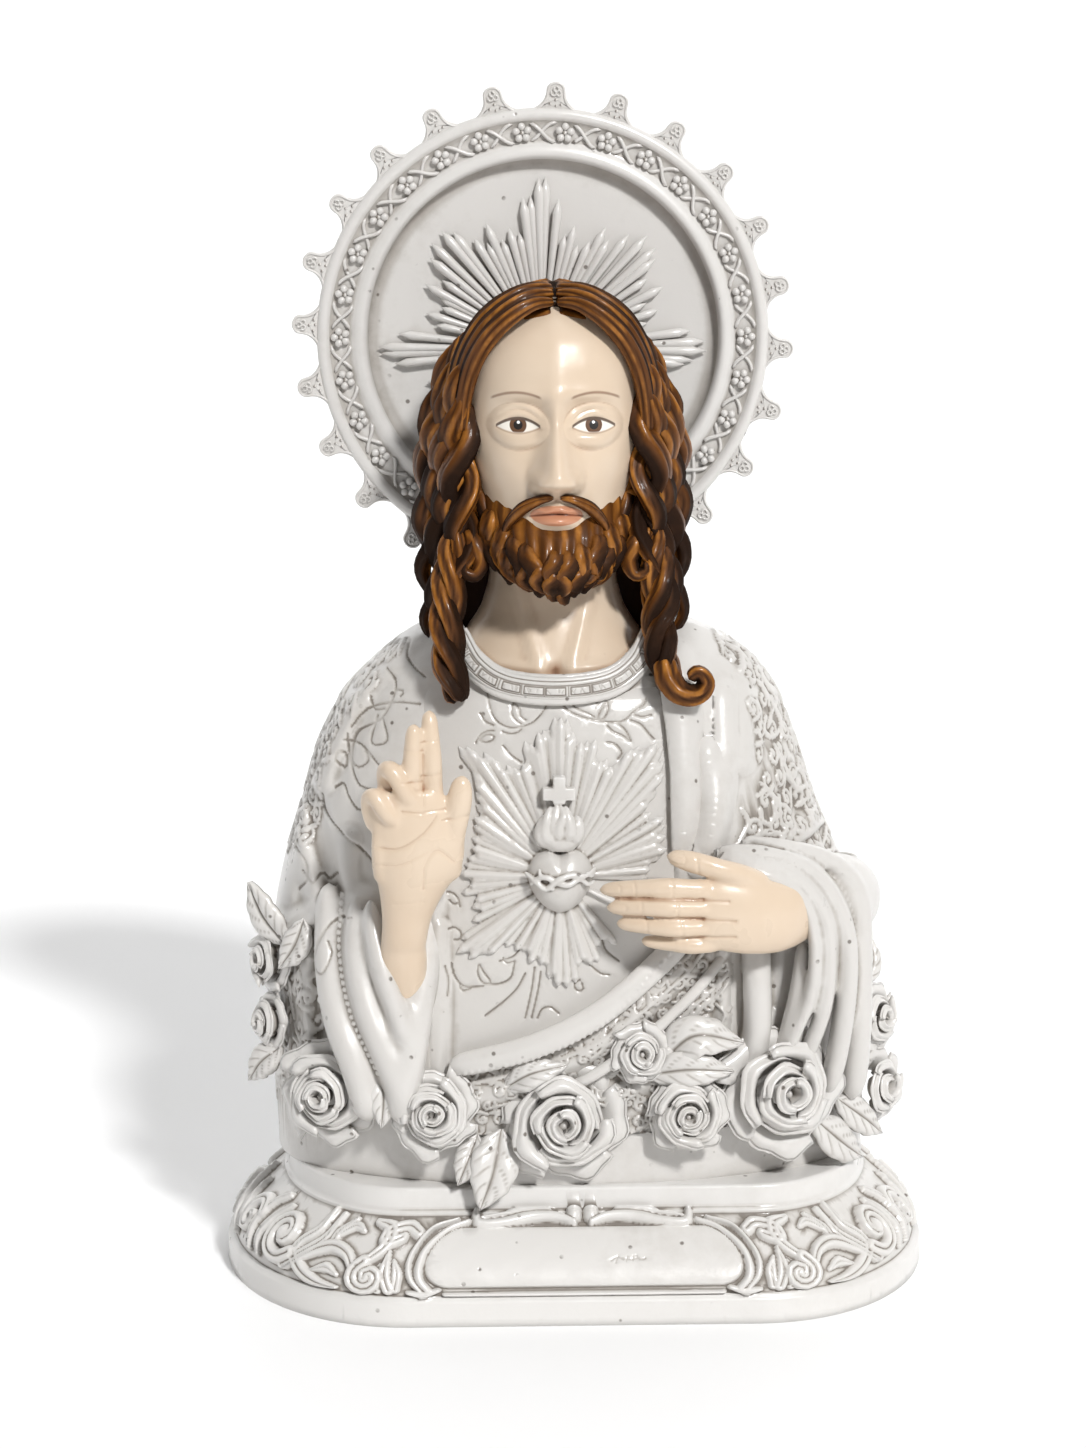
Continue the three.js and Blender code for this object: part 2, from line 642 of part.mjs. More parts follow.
function head() {
  // z, half width and forward reach of the nose, from the brow to under its tip
  const nose = [[236, 2.4, 3], [224, 3.2, 7.5], [215.5, 4.6, 11.5], [212, 5.2, 10.5], [210, 3.6, 6.5]]
  const noseRoot = -42
  const noseRings = nose.map(([z, wide, forward]) => {
    const half = [[wide * 0.4, noseRoot - forward], [wide, noseRoot - 1], [wide, noseRoot + 4]]
    const other = [...half].reverse().map(([x, y]) => [-x, y])
    return [...other, ...half].map(([x, y]) => place(x, y, z))
  })
  const mouth = [[-8, -45, 203.6], [0, -48, 203.8], [8, -45, 203.6]]
  const neck = [[150, 25, 25, 23, 20], [170, 20, 20, 20, 18], [200, 19, 19, 18, 18]]
  const parts = [
    uprightBody(headTable, { sides: 16, fullness: headFullness, middleY: headMiddleY }),
    uprightBody(neck, { sides: 12, fullness: 2, middleY: -14 }),
    loft(noseRings),
    strand(places(mouth), swell(0.8, 1.7, 0.8), swell(1, 2.2, 1), { sides: 4, steps: 4 }),
  ]
  for (const side of [-1, 1]) {
    const eye = new THREE.SphereGeometry(5.2 * step, 6, 4)
    eye.scale(1, 0.62, 0.62)
    const seat = place(side * 11, -40.6, 229)
    eye.translate(seat.x, seat.y, seat.z)
    parts.push(solid(eye))
    const line = [[4.6, 235.6], [11, 237.6], [18.6, 235.2]]
    const brow = line.map(([x, z]) => place(side * x, faceFront(x, z) + 0.2, z))
    parts.push(strand(brow, swell(1, 1.8, 0.6), swell(1, 1.8, 0.6), { sides: 3, steps: 3 }))
  }
  return parts
}

// Waving hair, parted in the middle, in long locks to the chest and the shoulders
function hair() {
  // a lock's route [x, y, z], its half width in the middle and at the end, and its sideways wave
  const locks = [
    [[[1, -30, 266], [15, -37, 263], [24, -34, 252], [29, -29, 238], [31, -27, 222]], 5.4, 4.6, 0.8],
    [[[26, -27, 232], [30.5, -28, 216], [31.5, -31, 196], [31, -38, 172], [30.5, -45, 148]], 6.6, 3.4, 2.6],
    [[[1, -18, 268], [21, -22, 263], [31, -18, 246], [34.5, -14, 226], [36.5, -15, 206], [36, -17, 170]],
      6.6, 5, 1.8],
    [[[1, -6, 267.5], [20, -3, 260], [29, 3, 243], [33, 4, 218], [35, 4, 194], [34, 4, 168]], 8.2, 6, 1.6],
  ]
  const parts = []
  for (const [path, size, end, wave] of locks) {
    for (const side of [1, -1]) {
      const curve = new THREE.CatmullRomCurve3(places(path.map(([x, y, z]) => [side * x, y, z])))
      const waved = []
      const bends = 9
      for (let i = 0; i <= bends; i++) {
        const p = curve.getPoint(i / bends)
        p.x += side * wave * step * Math.sin(i * 2.1)
        waved.push(p)
      }
      const across = (t) => swell(4, size, end)(t) * (1 + 0.14 * Math.sin(t * 26))
      parts.push(strand(waved, across, (t) => 0.85 * across(t), { sides: 5, steps: bends }))
    }
  }
  const mass = [
    [160, 29, 29, 4, 18], [196, 31, 31, 4, 20], [222, 31, 31, 12, 34], [246, 29.5, 29.5, 24, 36],
    [257, 25.5, 25.5, 26, 32], [264, 18.5, 18.5, 21, 25], [268.4, 9, 9, 12, 13],
  ]
  parts.push(uprightBody(mass, { sides: 12, fullness: 2.1, middleY: headMiddleY + 1 }))
  // the outward curl that ends the lock on the viewer's right
  const curl = [[30, -44, 158], [32, -46, 152], [38, -47, 150], [41, -47, 153], [38.5, -47, 156]]
  parts.push(strand(places(curl), swell(3.6, 3.4, 1.6), swell(3.6, 3.2, 1.6), { sides: 4, steps: 5 }))
  return parts
}

function beard() {
  const table = [
    [178, 5, 5, 30, -18], [182, 13, 13, 37, -8], [188, 19.5, 19.5, 39.5, 2],
    [195, 21.8, 21.8, 38, 8], [203, 23, 23, 34, 14], [211, 24.4, 24.4, 28.5, 20],
  ]
  const parts = [uprightBody(table, { sides: 12, fullness: 2, middleY: headMiddleY })]
  const moustache = [[0.5, -47, 208.5], [7, -47.5, 207], [12, -46.5, 201.5], [15, -46, 196]]
  const curls = [[-16, 190], [-8.5, 185], [0, 182], [8.5, 185], [16, 190], [-19, 200], [19, 200]]
  for (const path of [moustache, mirrored(moustache)]) {
    parts.push(strand(places(path), swell(1.6, 2.8, 1), swell(1.6, 2.6, 1), { sides: 4, steps: 4 }))
  }
  for (const [x, z] of curls) {
    const [wide, , deep] = between(table, z)
    const y = headMiddleY + 1.5 - deep * Math.sqrt(1 - (x / (wide + 1)) ** 2)
    const way = x < 0 ? -1 : 1
    const curl = [[x, y, z + 5], [x + way * 2.4, y - 2.4, z], [x - way * 1.2, y, z - 3.6]]
    parts.push(strand(places(curl), swell(2.4, 3.2, 0.8), swell(2.4, 3.2, 1.4), { sides: 3, steps: 2 }))
  }
  return parts
}

// A rose with rings of lobed petals round a bud: each row is [radius share, height share]
function rose(x, y, z, radius, out, detail) {
  const full = [
    [0.5, -0.85], [0.98, 0.02], [0.9, 0.2], [0.62, 0.08],
    [0.66, 0.44], [0.42, 0.2], [0.38, 0.58], [0.12, 0.4],
  ]
  const small = [[0.5, -1], [1, 0.1], [0.8, 0.36], [0.5, 0.2], [0.42, 0.6]]
  const rows = detail ? full : small
  const petals = detail ? 5 : 3
  const sides = detail ? 9 : 5
  const axis = new THREE.Vector3(...out).normalize()
  const across = new THREE.Vector3(0, 0, 1).cross(axis).normalize()
  const up = new THREE.Vector3().crossVectors(axis, across)
  const middle = place(x, y, z)
  return loft(rows.map(([r, height], row) => {
    const ring = []
    for (let k = 0; k < sides; k++) {
      const a = (2 * Math.PI * k) / sides
      const lobe = 1 + 0.07 * Math.cos(petals * a + row * 1.3)
      ring.push(middle.clone()
        .addScaledVector(across, radius * step * r * lobe * Math.cos(a))
        .addScaledVector(up, radius * step * r * lobe * Math.sin(a))
        .addScaledVector(axis, radius * step * height))
    }
    return ring
  }))
}

function leaf(path, width) {
  const across = (t) => width * step * Math.sin(Math.PI * (0.12 + 0.86 * t))
  return strand(places(path), across, leafThickness * step, { sides: 3, steps: 3 })
}

function garland() {
  const roses = [
    [-69, -47, 27, 15.5, [-0.42, -0.9, 0.1], true],
    [-37.5, -60, 25, 13, [-0.1, -1, 0.1], true],
    [1.7, -59, 21.5, 18.2, [0, -1, 0.1], true],
    [25, -59, 42, 9, [0.1, -1, 0.2], false],
    [39, -60, 23.5, 12, [0.05, -1, 0.1], true],
    [68, -53, 28.5, 18, [0.3, -0.95, 0.12], true],
    [-87, -18, 62, 10.5, [-0.9, -0.45, 0.1], false],
    [-87, -22, 43, 9.5, [-0.9, -0.5, 0.1], false],
    [101, -14, 40.5, 10, [0.75, -0.65, 0.1], false],
    [101.5, -18, 19.5, 11.4, [0.7, -0.7, 0.1], false],
  ]
  const leaves = [
    [[[-18, -54, 18], [-22, -60, 6], [-24, -60, -6]], 7],
    [[[22, -56, 36], [38, -59, 46], [53, -56, 45]], 7.5],
    [[[-18, -57, 32], [-8, -61, 38], [4, -58, 40]], 5],
    [[[74, -46, 22], [84, -38, 8], [90, -28, 0]], 6],
    [[[-56, -52, 42], [-52, -57, 34], [-52, -58, 22]], 5],
    [[[-82, -20, 68], [-88, -18, 77], [-92, -16, 87]], 5],
  ]
  const ground = [[-1, 82, 92, 55, 50], [8, 80, 91, 58, 50], [24, 76, 88, 55, 44]]
  return [
    uprightBody(ground, { sides: 20, fullness: 2.5 }),
    roses.map((r) => rose(...r)),
    leaves.map((l) => leaf(...l)),
  ]
}

// Halo, upright behind the head, the front of its rim at haloMiddle.y
const haloRadius = haloDiameter / 2
const channelOut = haloRadius - rimWidth
const channelIn = channelOut - channelWidth
const recessRadius = channelIn - innerRingWidth
const toothSetback = 1.4
const haloMiddle = place(-1.5, 21.5, 250.5)

function turnedAboutHalo(profile, segments) {
  const points = profile.map(([r, y]) => new THREE.Vector2(r, y))
  const geometry = new THREE.LatheGeometry(points, segments)
  geometry.translate(haloMiddle.x, haloMiddle.y, haloMiddle.z)
  return solid(geometry)
}

function haloPlate() {
  return turnedAboutHalo([
    [0, recessDepth], [recessRadius, recessDepth], [recessRadius + 0.6, 0], [channelIn - 0.6, 0],
    [channelIn, channelDepth], [channelOut, channelDepth], [channelOut + 0.6, 0],
    [haloRadius, 0], [haloRadius, haloThickness], [0, haloThickness],
  ], 36)
}

// Everything of the figure inside this space is cut away, so that the halo seats against the boss
// on the back of the head and stays clear of the hair and shoulders
function haloClearance() {
  const reach = haloRadius + toothLength + haloGap
  const behind = plinthDepth
  const boss = bossDiameter / 2 + haloGap
  const rays = recessDepth - haloRayThickness - haloGap
  return turnedAboutHalo([
    [0, recessDepth - haloGap], [boss, recessDepth - haloGap], [boss, rays], [recessRadius - haloGap, rays],
    [recessRadius - haloGap, -haloGap], [reach, -haloGap], [reach, behind], [0, behind],
  ], 40)
}

function teeth() {
  const outline = new THREE.Shape()
  const root = haloRadius - 1
  for (let i = 0; i < toothCount; i++) {
    const middle = (2 * Math.PI * (i + 0.2)) / toothCount
    const corners = [
      [-0.5, root], [-0.34, haloRadius + toothLength * 0.5], [-0.18, haloRadius + toothLength],
      [0.18, haloRadius + toothLength], [0.34, haloRadius + toothLength * 0.5], [0.5, root],
    ]
    for (const [share, r] of corners) {
      const a = middle + (share * toothWidth) / haloRadius
      outline[i === 0 && share === -0.5 ? 'moveTo' : 'lineTo'](r * Math.cos(a), r * Math.sin(a))
    }
  }
  const hole = new THREE.Path()
  hole.absarc(0, 0, haloRadius - rimWidth / 2, 0, 2 * Math.PI)
  outline.holes.push(hole)
  const geometry = new THREE.ExtrudeGeometry(outline, {
    depth: toothThickness, bevelEnabled: false, curveSegments: 24,
  })
  geometry.rotateX(Math.PI / 2)
  geometry.translate(haloMiddle.x, haloMiddle.y + toothSetback + toothThickness, haloMiddle.z)
  return solid(geometry)
}

function flowerChain() {
  const parts = []
  const r = (channelIn + channelOut) / 2
  for (let i = 0; i < flowerCount; i++) {
    const a = (2 * Math.PI * i) / flowerCount
    const flower = new THREE.CylinderGeometry(flowerRadius, flowerRadius * 0.35, channelDepth + 0.5, 4)
    flower.rotateY(-a)
    flower.translate(r * Math.cos(a), channelDepth / 2, r * Math.sin(a))
    flower.translate(haloMiddle.x, haloMiddle.y + 0.2, haloMiddle.z)
    parts.push(solid(flower))
  }
  return parts
}

// One group of half-round rays, drawn together as a ridged fan with stepped tips
function haloFan(angle, reach, count) {
  const spacing = 2.9
  const turned = THREE.MathUtils.degToRad(angle)
  const from = bossDiameter / 2 + 1.5
  const rings = [0, 1].map((end) => {
    const top = []
    for (let i = 0; i <= 2 * count; i++) {
      const ray = (i - count) / 2
      const stepped = 1 - 0.085 * Math.round(Math.abs(ray) * 0.99)
      const along = end ? haloRayLength * reach * stepped : from
      top.push([along, ray * spacing * (end ? 1.15 : 0.55), i % 2 ? haloRayThickness : 0.4])
    }
    const bottom = [top.at(-1), top[0]].map(([along, aside]) => [along, aside, -1.5])
    return [...top, ...bottom].map(([along, aside, lift]) => new THREE.Vector3(
      haloMiddle.x + along * Math.cos(turned) - aside * Math.sin(turned),
      haloMiddle.y + recessDepth - lift,
      haloMiddle.z + along * Math.sin(turned) + aside * Math.cos(turned),
    ))
  })
  return loft(rings)
}

// Three long groups of rays make a cross, with shorter groups between them
function haloRays() {
  const groups = [
    [90, 1, 7], [0, 1, 7], [180, 1, 7], [45, 0.82, 6], [135, 0.82, 6], [-40, 0.7, 4], [220, 0.7, 4],
  ]
  return groups.map((group) => haloFan(...group))
}

function boss() {
  const length = haloMiddle.y + recessDepth - headMiddleY * step
  const geometry = new THREE.CylinderGeometry(bossDiameter / 2, bossDiameter / 2, length, 16)
  geometry.translate(haloMiddle.x, headMiddleY * step + length / 2, haloMiddle.z)
  return solid(geometry)
}

function named(name, body, colour, roughness) {
  const { vertProperties, triVerts } = body.getMesh()
  const geometry = new THREE.BufferGeometry()
  geometry.setAttribute('position', new THREE.BufferAttribute(vertProperties, 3))
  geometry.setIndex(new THREE.BufferAttribute(triVerts, 1))
  geometry.computeVertexNormals()
  const material = new THREE.MeshStandardMaterial({ color: colour, roughness, metalness: 0 })
  const mesh = new THREE.Mesh(geometry, material)
  mesh.name = name
  return mesh
}

const sliverLength = 2.0
const flatLength = 14
const figure = join([
  plinthBody(), frieze(), cartouche(), robe(), sunburst(), heart(), raisedHand(), pointingHand(),
  head(), hair(), beard(), boss(), garland(),
])
const casting = withoutSlivers(withoutSpecks(figure), sliverLength, flatLength).subtract(haloClearance())
const haloCasting = join([haloPlate(), teeth(), flowerChain(), haloRays()])

const statue = new THREE.Group()
statue.add(named('statue', withoutSpecks(casting), 0xd9d5cf, 0.45))
statue.add(named('halo', haloCasting, 0xdcd9d4, 0.45))

export default statue
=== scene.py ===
import math
import bpy
import numpy as np
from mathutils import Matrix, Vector


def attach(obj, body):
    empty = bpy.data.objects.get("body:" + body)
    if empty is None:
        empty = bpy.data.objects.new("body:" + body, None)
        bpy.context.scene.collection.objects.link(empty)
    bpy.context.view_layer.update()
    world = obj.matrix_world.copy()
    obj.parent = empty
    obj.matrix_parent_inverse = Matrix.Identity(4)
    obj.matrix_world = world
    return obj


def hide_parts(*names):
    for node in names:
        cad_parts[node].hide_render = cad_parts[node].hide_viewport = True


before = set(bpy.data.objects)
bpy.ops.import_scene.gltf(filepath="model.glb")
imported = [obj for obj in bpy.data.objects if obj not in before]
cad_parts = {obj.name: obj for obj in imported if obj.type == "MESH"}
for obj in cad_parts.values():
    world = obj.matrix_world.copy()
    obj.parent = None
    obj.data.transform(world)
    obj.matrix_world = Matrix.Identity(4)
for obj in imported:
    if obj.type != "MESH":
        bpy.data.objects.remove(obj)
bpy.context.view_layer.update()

# Studio. A pale floor in a bright room, one large soft lamp high on the right, a weaker broad one overhead,
# a small one on the right and one behind, and the camera a little above the plinth, straight in front.
scene = bpy.context.scene
scene.view_settings.view_transform = "Standard"

camera = bpy.data.objects.new("camera", bpy.data.cameras.new("camera"))
scene.collection.objects.link(camera)
scene.camera = camera
camera.location = (-0.0483, -1.0993, 0.372)
camera.data.sensor_fit = "AUTO"
camera.data.sensor_width = 36
camera.data.lens = 89.3
camera.data.clip_start = 0.01


def aim(thing, at):
    thing.rotation_euler = (Vector(at) - thing.location).to_track_quat("-Z", "Y").to_euler()


aim(camera, (-0.0099, 0, 0.1695))

room = bpy.data.worlds.new("room")
scene.world = room
room.use_nodes = True
room.node_tree.nodes["Background"].inputs["Color"].default_value = (1, 1, 1, 1)
room.node_tree.nodes["Background"].inputs["Strength"].default_value = 0.14

for name, kind, place, size, power in [
    ("key", "SUN", (0.36, -0.85, 0.68), 0.13, 2.75),
    ("above", "SUN", (0.05, 0.1, 1.0), 1.4, 0.85),
    ("window", "AREA", (0.6, -0.85, 0.75), 0.1, 0.4),
    ("behind", "AREA", (0.2, 0.9, 0.7), 0.8, 0.8),
]:
    lamp = bpy.data.objects.new(name, bpy.data.lights.new(name, kind))
    if kind == "SUN":
        lamp.data.angle = size
    else:
        lamp.data.size = size
    lamp.data.energy = power
    lamp.location = place
    aim(lamp, (0, 0, 0.2) if kind == "AREA" else (0, 0, 0))
    scene.collection.objects.link(lamp)


# Shader maths: a socket with the usual operators, and one call for any other node.
class Wire:
    def __init__(self, socket):
        self.socket = socket

    def with_(self, operation, *others):
        tree = self.socket.id_data
        node = tree.nodes.new("ShaderNodeMath")
        node.operation = operation
        for slot, value in zip(node.inputs, (self, *others)):
            if isinstance(value, Wire):
                tree.links.new(value.socket, slot)
            else:
                slot.default_value = value
        return Wire(node.outputs[0])

    def __add__(self, other): return self.with_("ADD", other)
    def __radd__(self, other): return self.with_("ADD", other)
    def __sub__(self, other): return self.with_("SUBTRACT", other)
    def __rsub__(self, other): return -1 * self + other
    def __mul__(self, other): return self.with_("MULTIPLY", other)
    def __rmul__(self, other): return self.with_("MULTIPLY", other)
    def __truediv__(self, other): return self.with_("DIVIDE", other)
    def __pow__(self, other): return self.with_("POWER", other)

    def least(self, other): return self.with_("MINIMUM", other)
    def most(self, other): return self.with_("MAXIMUM", other)
    def size(self): return self.with_("ABSOLUTE")
    def held(self): return self.most(0).least(1)

    def over(self, low, high):
        """0 below low, 1 above high, straight between"""
        return ((self - low) / (high - low)).held()


class Finish:
    """One painted finish, made of nodes"""

    def __init__(self, name):
        self.material = bpy.data.materials.new(name)
        self.material.use_nodes = True
        self.tree = self.material.node_tree
        self.paint = self.tree.nodes["Principled BSDF"]

    def node(self, kind, settings=None, **values):
        node = self.tree.nodes.new(kind)
        for key, value in (settings or {}).items():
            setattr(node, key, value)
        for key, value in values.items():
            slot = node.inputs[key.replace("_", " ")]
            if isinstance(value, Wire):
                self.tree.links.new(value.socket, slot)
            else:
                slot.default_value = value
        return node

    def place(self, axis=None):
        where = self.node("ShaderNodeTexCoord").outputs["Object"]
        if axis is None:
            return Wire(where)
        return Wire(self.node("ShaderNodeSeparateXYZ", Vector=Wire(where)).outputs[axis])

    def grain(self, scale, detail=3, rough=0.5, stretch=None):
        where = self.place()
        if stretch:
            where = Wire(self.node("ShaderNodeMapping", Vector=where, Scale=stretch).outputs[0])
        noise = self.node("ShaderNodeTexNoise", Vector=where, Scale=scale, Detail=detail, Roughness=rough)
        return Wire(noise.outputs["Fac"])

    def mark(self, name):
        """A number that the mesh carries at its points"""
        return Wire(self.node("ShaderNodeAttribute", {"attribute_name": name}).outputs["Fac"])

    def blend(self, share, one, other):
        mix = self.node("ShaderNodeMix", {"data_type": "RGBA"})
        for slot, value in ((0, share), (6, one), (7, other)):
            if isinstance(value, Wire):
                self.tree.links.new(value.socket, mix.inputs[slot])
            else:
                mix.inputs[slot].default_value = value if slot == 0 else (*value, 1)
        return Wire(mix.outputs[2])

    def layers(self, base, *layers):
        """Paint over paint, each layer a share and its colour"""
        for share, *paint in layers:
            base = self.blend(share, base, colour(*paint))
        return base

    def feed(self, **values):
        for key, value in values.items():
            slot = self.paint.inputs[key.replace("_", " ")]
            if isinstance(value, Wire):
                self.tree.links.new(value.socket, slot)
            else:
                slot.default_value = (*value, 1) if isinstance(value, tuple) else value

    def bump(self, height, strength, distance):
        node = self.node("ShaderNodeBump", Height=height, Strength=strength, Distance=distance)
        self.feed(Normal=Wire(node.outputs[0]))


def colour(red, green, blue):
    """A painter's 0 to 255 colour as the light it sends back"""
    return tuple(((c / 255 + 0.055) / 1.055) ** 2.4 if c > 10 else c / 3295 for c in (red, green, blue))


floor_finish = Finish("floor_paint")
floor_finish.feed(Roughness=0.7, Base_Color=floor_finish.blend(
    floor_finish.grain(6), (0.93, 0.93, 0.93), (0.96, 0.96, 0.96)))
floor = bpy.data.objects.new("floor", bpy.data.meshes.new("floor"))
BEND = 0.9
sweep = [(-4, 0), (BEND, 0)]
sweep += [(BEND + BEND * math.sin(t), BEND - BEND * math.cos(t)) for t in np.linspace(0.1, 1.57, 14)]
sweep += [(2 * BEND, 6)]
floor.data.from_pydata([(x, y, z) for y, z in sweep for x in (-6, 6)], [],
                       [(2 * k, 2 * k + 1, 2 * k + 3, 2 * k + 2) for k in range(len(sweep) - 1)])
floor.data.shade_smooth()
floor.data.materials.append(floor_finish.material)
scene.collection.objects.link(floor)


# Plinth. The foot of the hollow resin casting: an oval rim, a frieze that rolls inwards with
# modelled scrolls and leaves, a blank cartouche on the front, and a plain band on top.
# White glaze, grey-brown in the hollows: partly a real wash, partly painted shade.
STEP = 0.001
PLINTH_WIDE, PLINTH_DEEP, STRAIGHT = 220, 150, 104
RIM_HIGH, RIM_STEP, FRIEZE_HIGH, FRIEZE_RUN, BAND_HIGH = 8.5, 1.3, 21.5, 17, 7.5
PLINTH_TOP = RIM_HIGH + FRIEZE_HIGH + BAND_HIGH


def line_through(points, count):
    """Evenly spaced points on a smooth line through the given ones"""
    p = np.array(points, float)
    if len(p) > 2:
        around = np.vstack([2 * p[0] - p[1], p, 2 * p[-1] - p[-2]])
        t = np.linspace(0, 1, 16, endpoint=False)[:, None]
        parts = []
        for a, b, c, d in zip(around, around[1:], around[2:], around[3:]):
            parts.append(0.5 * (2 * b + (c - a) * t + (2 * a - 5 * b + 4 * c - d) * t ** 2
                                + (3 * b - a - 3 * c + d) * t ** 3))
        p = np.vstack([*parts, p[-1:]])
    along = np.r_[0, np.cumsum(np.linalg.norm(np.diff(p, axis=0), axis=1))]
    at = np.linspace(0, along[-1], count)
    return np.stack([np.interp(at, along, p[:, k]) for k in range(p.shape[1])], 1)


def ways_at(route, out):
    """Unit directions at each point of a route: along it, outwards and across"""
    along = np.gradient(route, axis=0)
    along /= np.linalg.norm(along, axis=1)[:, None]
    out = np.array(out, float) - along * (along @ np.array(out, float))[:, None]
    out /= np.linalg.norm(out, axis=1)[:, None]
    return along, out, np.cross(along, out)


def skin(rings, mark=None):
    """A closed skin through rings of points: points, quads and a mark for each point"""
    rings = np.asarray(rings, float)
    n, m, _ = rings.shape
    points = np.vstack([rings.reshape(-1, 3), rings[0].mean(0), rings[-1].mean(0)])
    row, k = np.arange(n - 1)[:, None] * m, np.arange(m)[None]
    after = (k + 1) % m
    quads = np.stack([row + k, row + after, row + m + after, row + m + k], -1).reshape(-1, 4)
    k, after, last = np.arange(m), (np.arange(m) + 1) % m, (n - 1) * m
    start = np.stack([after, k, np.full(m, n * m), np.full(m, n * m)], 1)
    end = np.stack([last + k, last + after, np.full(m, n * m + 1), np.full(m, n * m + 1)], 1)
    faces = np.vstack([quads, start, end])
    a, b, c, d = (points[faces[:, i]] for i in range(4))
    if np.einsum("ij,ij->", a, np.cross(b, c)) + np.einsum("ij,ij->", a, np.cross(c, d)) < 0:
        faces = faces[:, (1, 0, 3, 2)]
    mark = np.zeros(len(points)) if mark is None else np.r_[np.ravel(mark), mark[0].mean(), mark[-1].mean()]
    return points, faces, mark


def strand(path, wide, deep, sides=12, steps=24, out=(0, -1, 0), twist=0, grooves=0, cut=0.0, round_ends=0.0):
    """A long rounded body along a smooth path. wide and deep are its half sizes along the way."""
    route = line_through(path, steps + 1)
    t = np.linspace(0, 1, steps + 1)
    along = np.gradient(route, axis=0)
    along /= np.linalg.norm(along, axis=1)[:, None]
    up = np.zeros_like(route)
    last = np.array(out, float)
    for i, way in enumerate(along):
        last = last - way * (last @ way)
        last /= np.linalg.norm(last)
        up[i] = last
    across = np.cross(along, up)
    size = [np.interp(t, np.linspace(0, 1, len(np.atleast_1d(s))), np.atleast_1d(s)) for s in (wide, deep)]
    if round_ends:
        near = np.minimum(np.minimum(t, 1 - t) / round_ends, 1)
        size = [s * np.sqrt(1 - (1 - near) ** 2 + 1e-4) for s in size]
    a = 2 * np.pi * np.arange(sides)[None] / sides + twist * t[:, None]
    groove = 1 - cut * (0.5 - 0.5 * np.cos(grooves * a)) if grooves else np.ones_like(a)
    ring = (route[:, None] + up[:, None] * (np.cos(a) * size[1][:, None] * groove)[..., None]
            + across[:, None] * (np.sin(a) * size[0][:, None] * groove)[..., None])
    # marks: darker on the side turned away from out and in the grooves, a painted shade
    facing = np.cos(2 * np.pi * np.arange(sides)[None] / sides) * np.ones_like(a)
    mark = np.clip(0.55 - facing, 0, 1) ** 1.3
    if grooves:
        mark = np.maximum(mark * 0.8, 0.72 * (0.5 - 0.5 * np.cos(grooves * a)) ** 2)
    return skin(ring, mark)


def together(skins):
    points, faces, marks, first = [], [], [], 0
    for p, f, m in skins:
        points.append(p)
        faces.append(f + first)
        marks.append(m)
        first += len(p)
    return np.vstack(points), np.vstack(faces), np.concatenate(marks)


def mesh_of(name, points, faces):
    """A mesh from points in mm and four-cornered faces, where a doubled corner makes a triangle"""
    three = faces[:, 2] == faces[:, 3]
    count = np.where(three, 3, 4)
    corners = faces[np.column_stack([np.ones((len(faces), 3), bool), ~three])]
    mesh = bpy.data.meshes.new(name)
    mesh.vertices.add(len(points))
    mesh.vertices.foreach_set("co", (points * STEP).ravel())
    mesh.loops.add(len(corners))
    mesh.loops.foreach_set("vertex_index", corners)
    mesh.polygons.add(len(faces))
    mesh.polygons.foreach_set("loop_start", np.r_[0, np.cumsum(count)[:-1]])
    mesh.update(calc_edges=True)
    mesh.validate()
    return mesh


def shell(name, rings):
    points, faces, _ = skin(rings)
    return mesh_of(name, points, faces)


def points_of(mesh):
    points = np.empty(len(mesh.vertices) * 3)
    mesh.vertices.foreach_get("co", points)
    return points.reshape(-1, 3) / STEP


def pairs_of(mesh):
    pairs = np.empty(len(mesh.edges) * 2, np.int32)
    mesh.edges.foreach_get("vertices", pairs)
    return pairs.reshape(-1, 2)


def outwards_of(mesh):
    normals = np.empty(len(mesh.vertices) * 3)
    mesh.vertex_normals.foreach_get("vector", normals)
    return normals.reshape(-1, 3)


def worked(mesh, kind, **settings):
    """The mesh after one of Blender's modifiers"""
    thing = bpy.data.objects.new("clay", mesh)
    scene.collection.objects.link(thing)
    tool = thing.modifiers.new("tool", kind)
    for key, value in settings.items():
        setattr(tool, key, value)
    result = bpy.data.meshes.new_from_object(thing.evaluated_get(bpy.context.evaluated_depsgraph_get()))
    bpy.data.objects.remove(thing)
    return result


def settled(points, pairs, times, share=0.5):
    """Points drawn towards the middle of their neighbours, again and again"""
    n = len(points)
    ends = np.r_[pairs[:, 0], pairs[:, 1]]
    others = np.r_[pairs[:, 1], pairs[:, 0]]
    count = np.maximum(np.bincount(ends, minlength=n), 1)
    for _ in range(times):
        middle = np.stack([np.bincount(ends, points[others, k], n) / count for k in range(3)], 1)
        points = points + share * (middle - points)
    return points


def moved(mesh, points):
    mesh.vertices.foreach_set("co", (points * STEP).ravel())
    mesh.update()
    return mesh


def fused(skins, grain, relax):
    """Skins run into one body with no inner walls, its surface eased"""
    points, faces, _ = together(skins)
    mesh = worked(mesh_of("clay", points, faces), "REMESH", mode="VOXEL", voxel_size=grain * STEP)
    return moved(mesh, settled(points_of(mesh), pairs_of(mesh), relax))


def thinned(mesh, most):
    """The mesh with its flattest faces joined, down to a number of triangles"""
    count = sum(p.loop_total - 2 for p in mesh.polygons)
    return worked(mesh, "DECIMATE", ratio=most / count) if count > most else mesh


def hollows(mesh, fine=6, broad=50, fine_depth=0.16, broad_depth=1.1):
    """How deep each point lies among its neighbours, 0 to 1, for the darkening in hollows: partly wash, partly
    painted shade
    """
    points, pairs, out = points_of(mesh), pairs_of(mesh), outwards_of(mesh)
    eased = settled(points, pairs, fine, 0.7)
    near = ((eased - points) * out).sum(1) / fine_depth
    eased = settled(eased, pairs, broad - fine, 0.7)
    far = ((eased - points) * out).sum(1) / broad_depth
    return np.clip(0.7 * near + 0.4 * far, -1, 1)


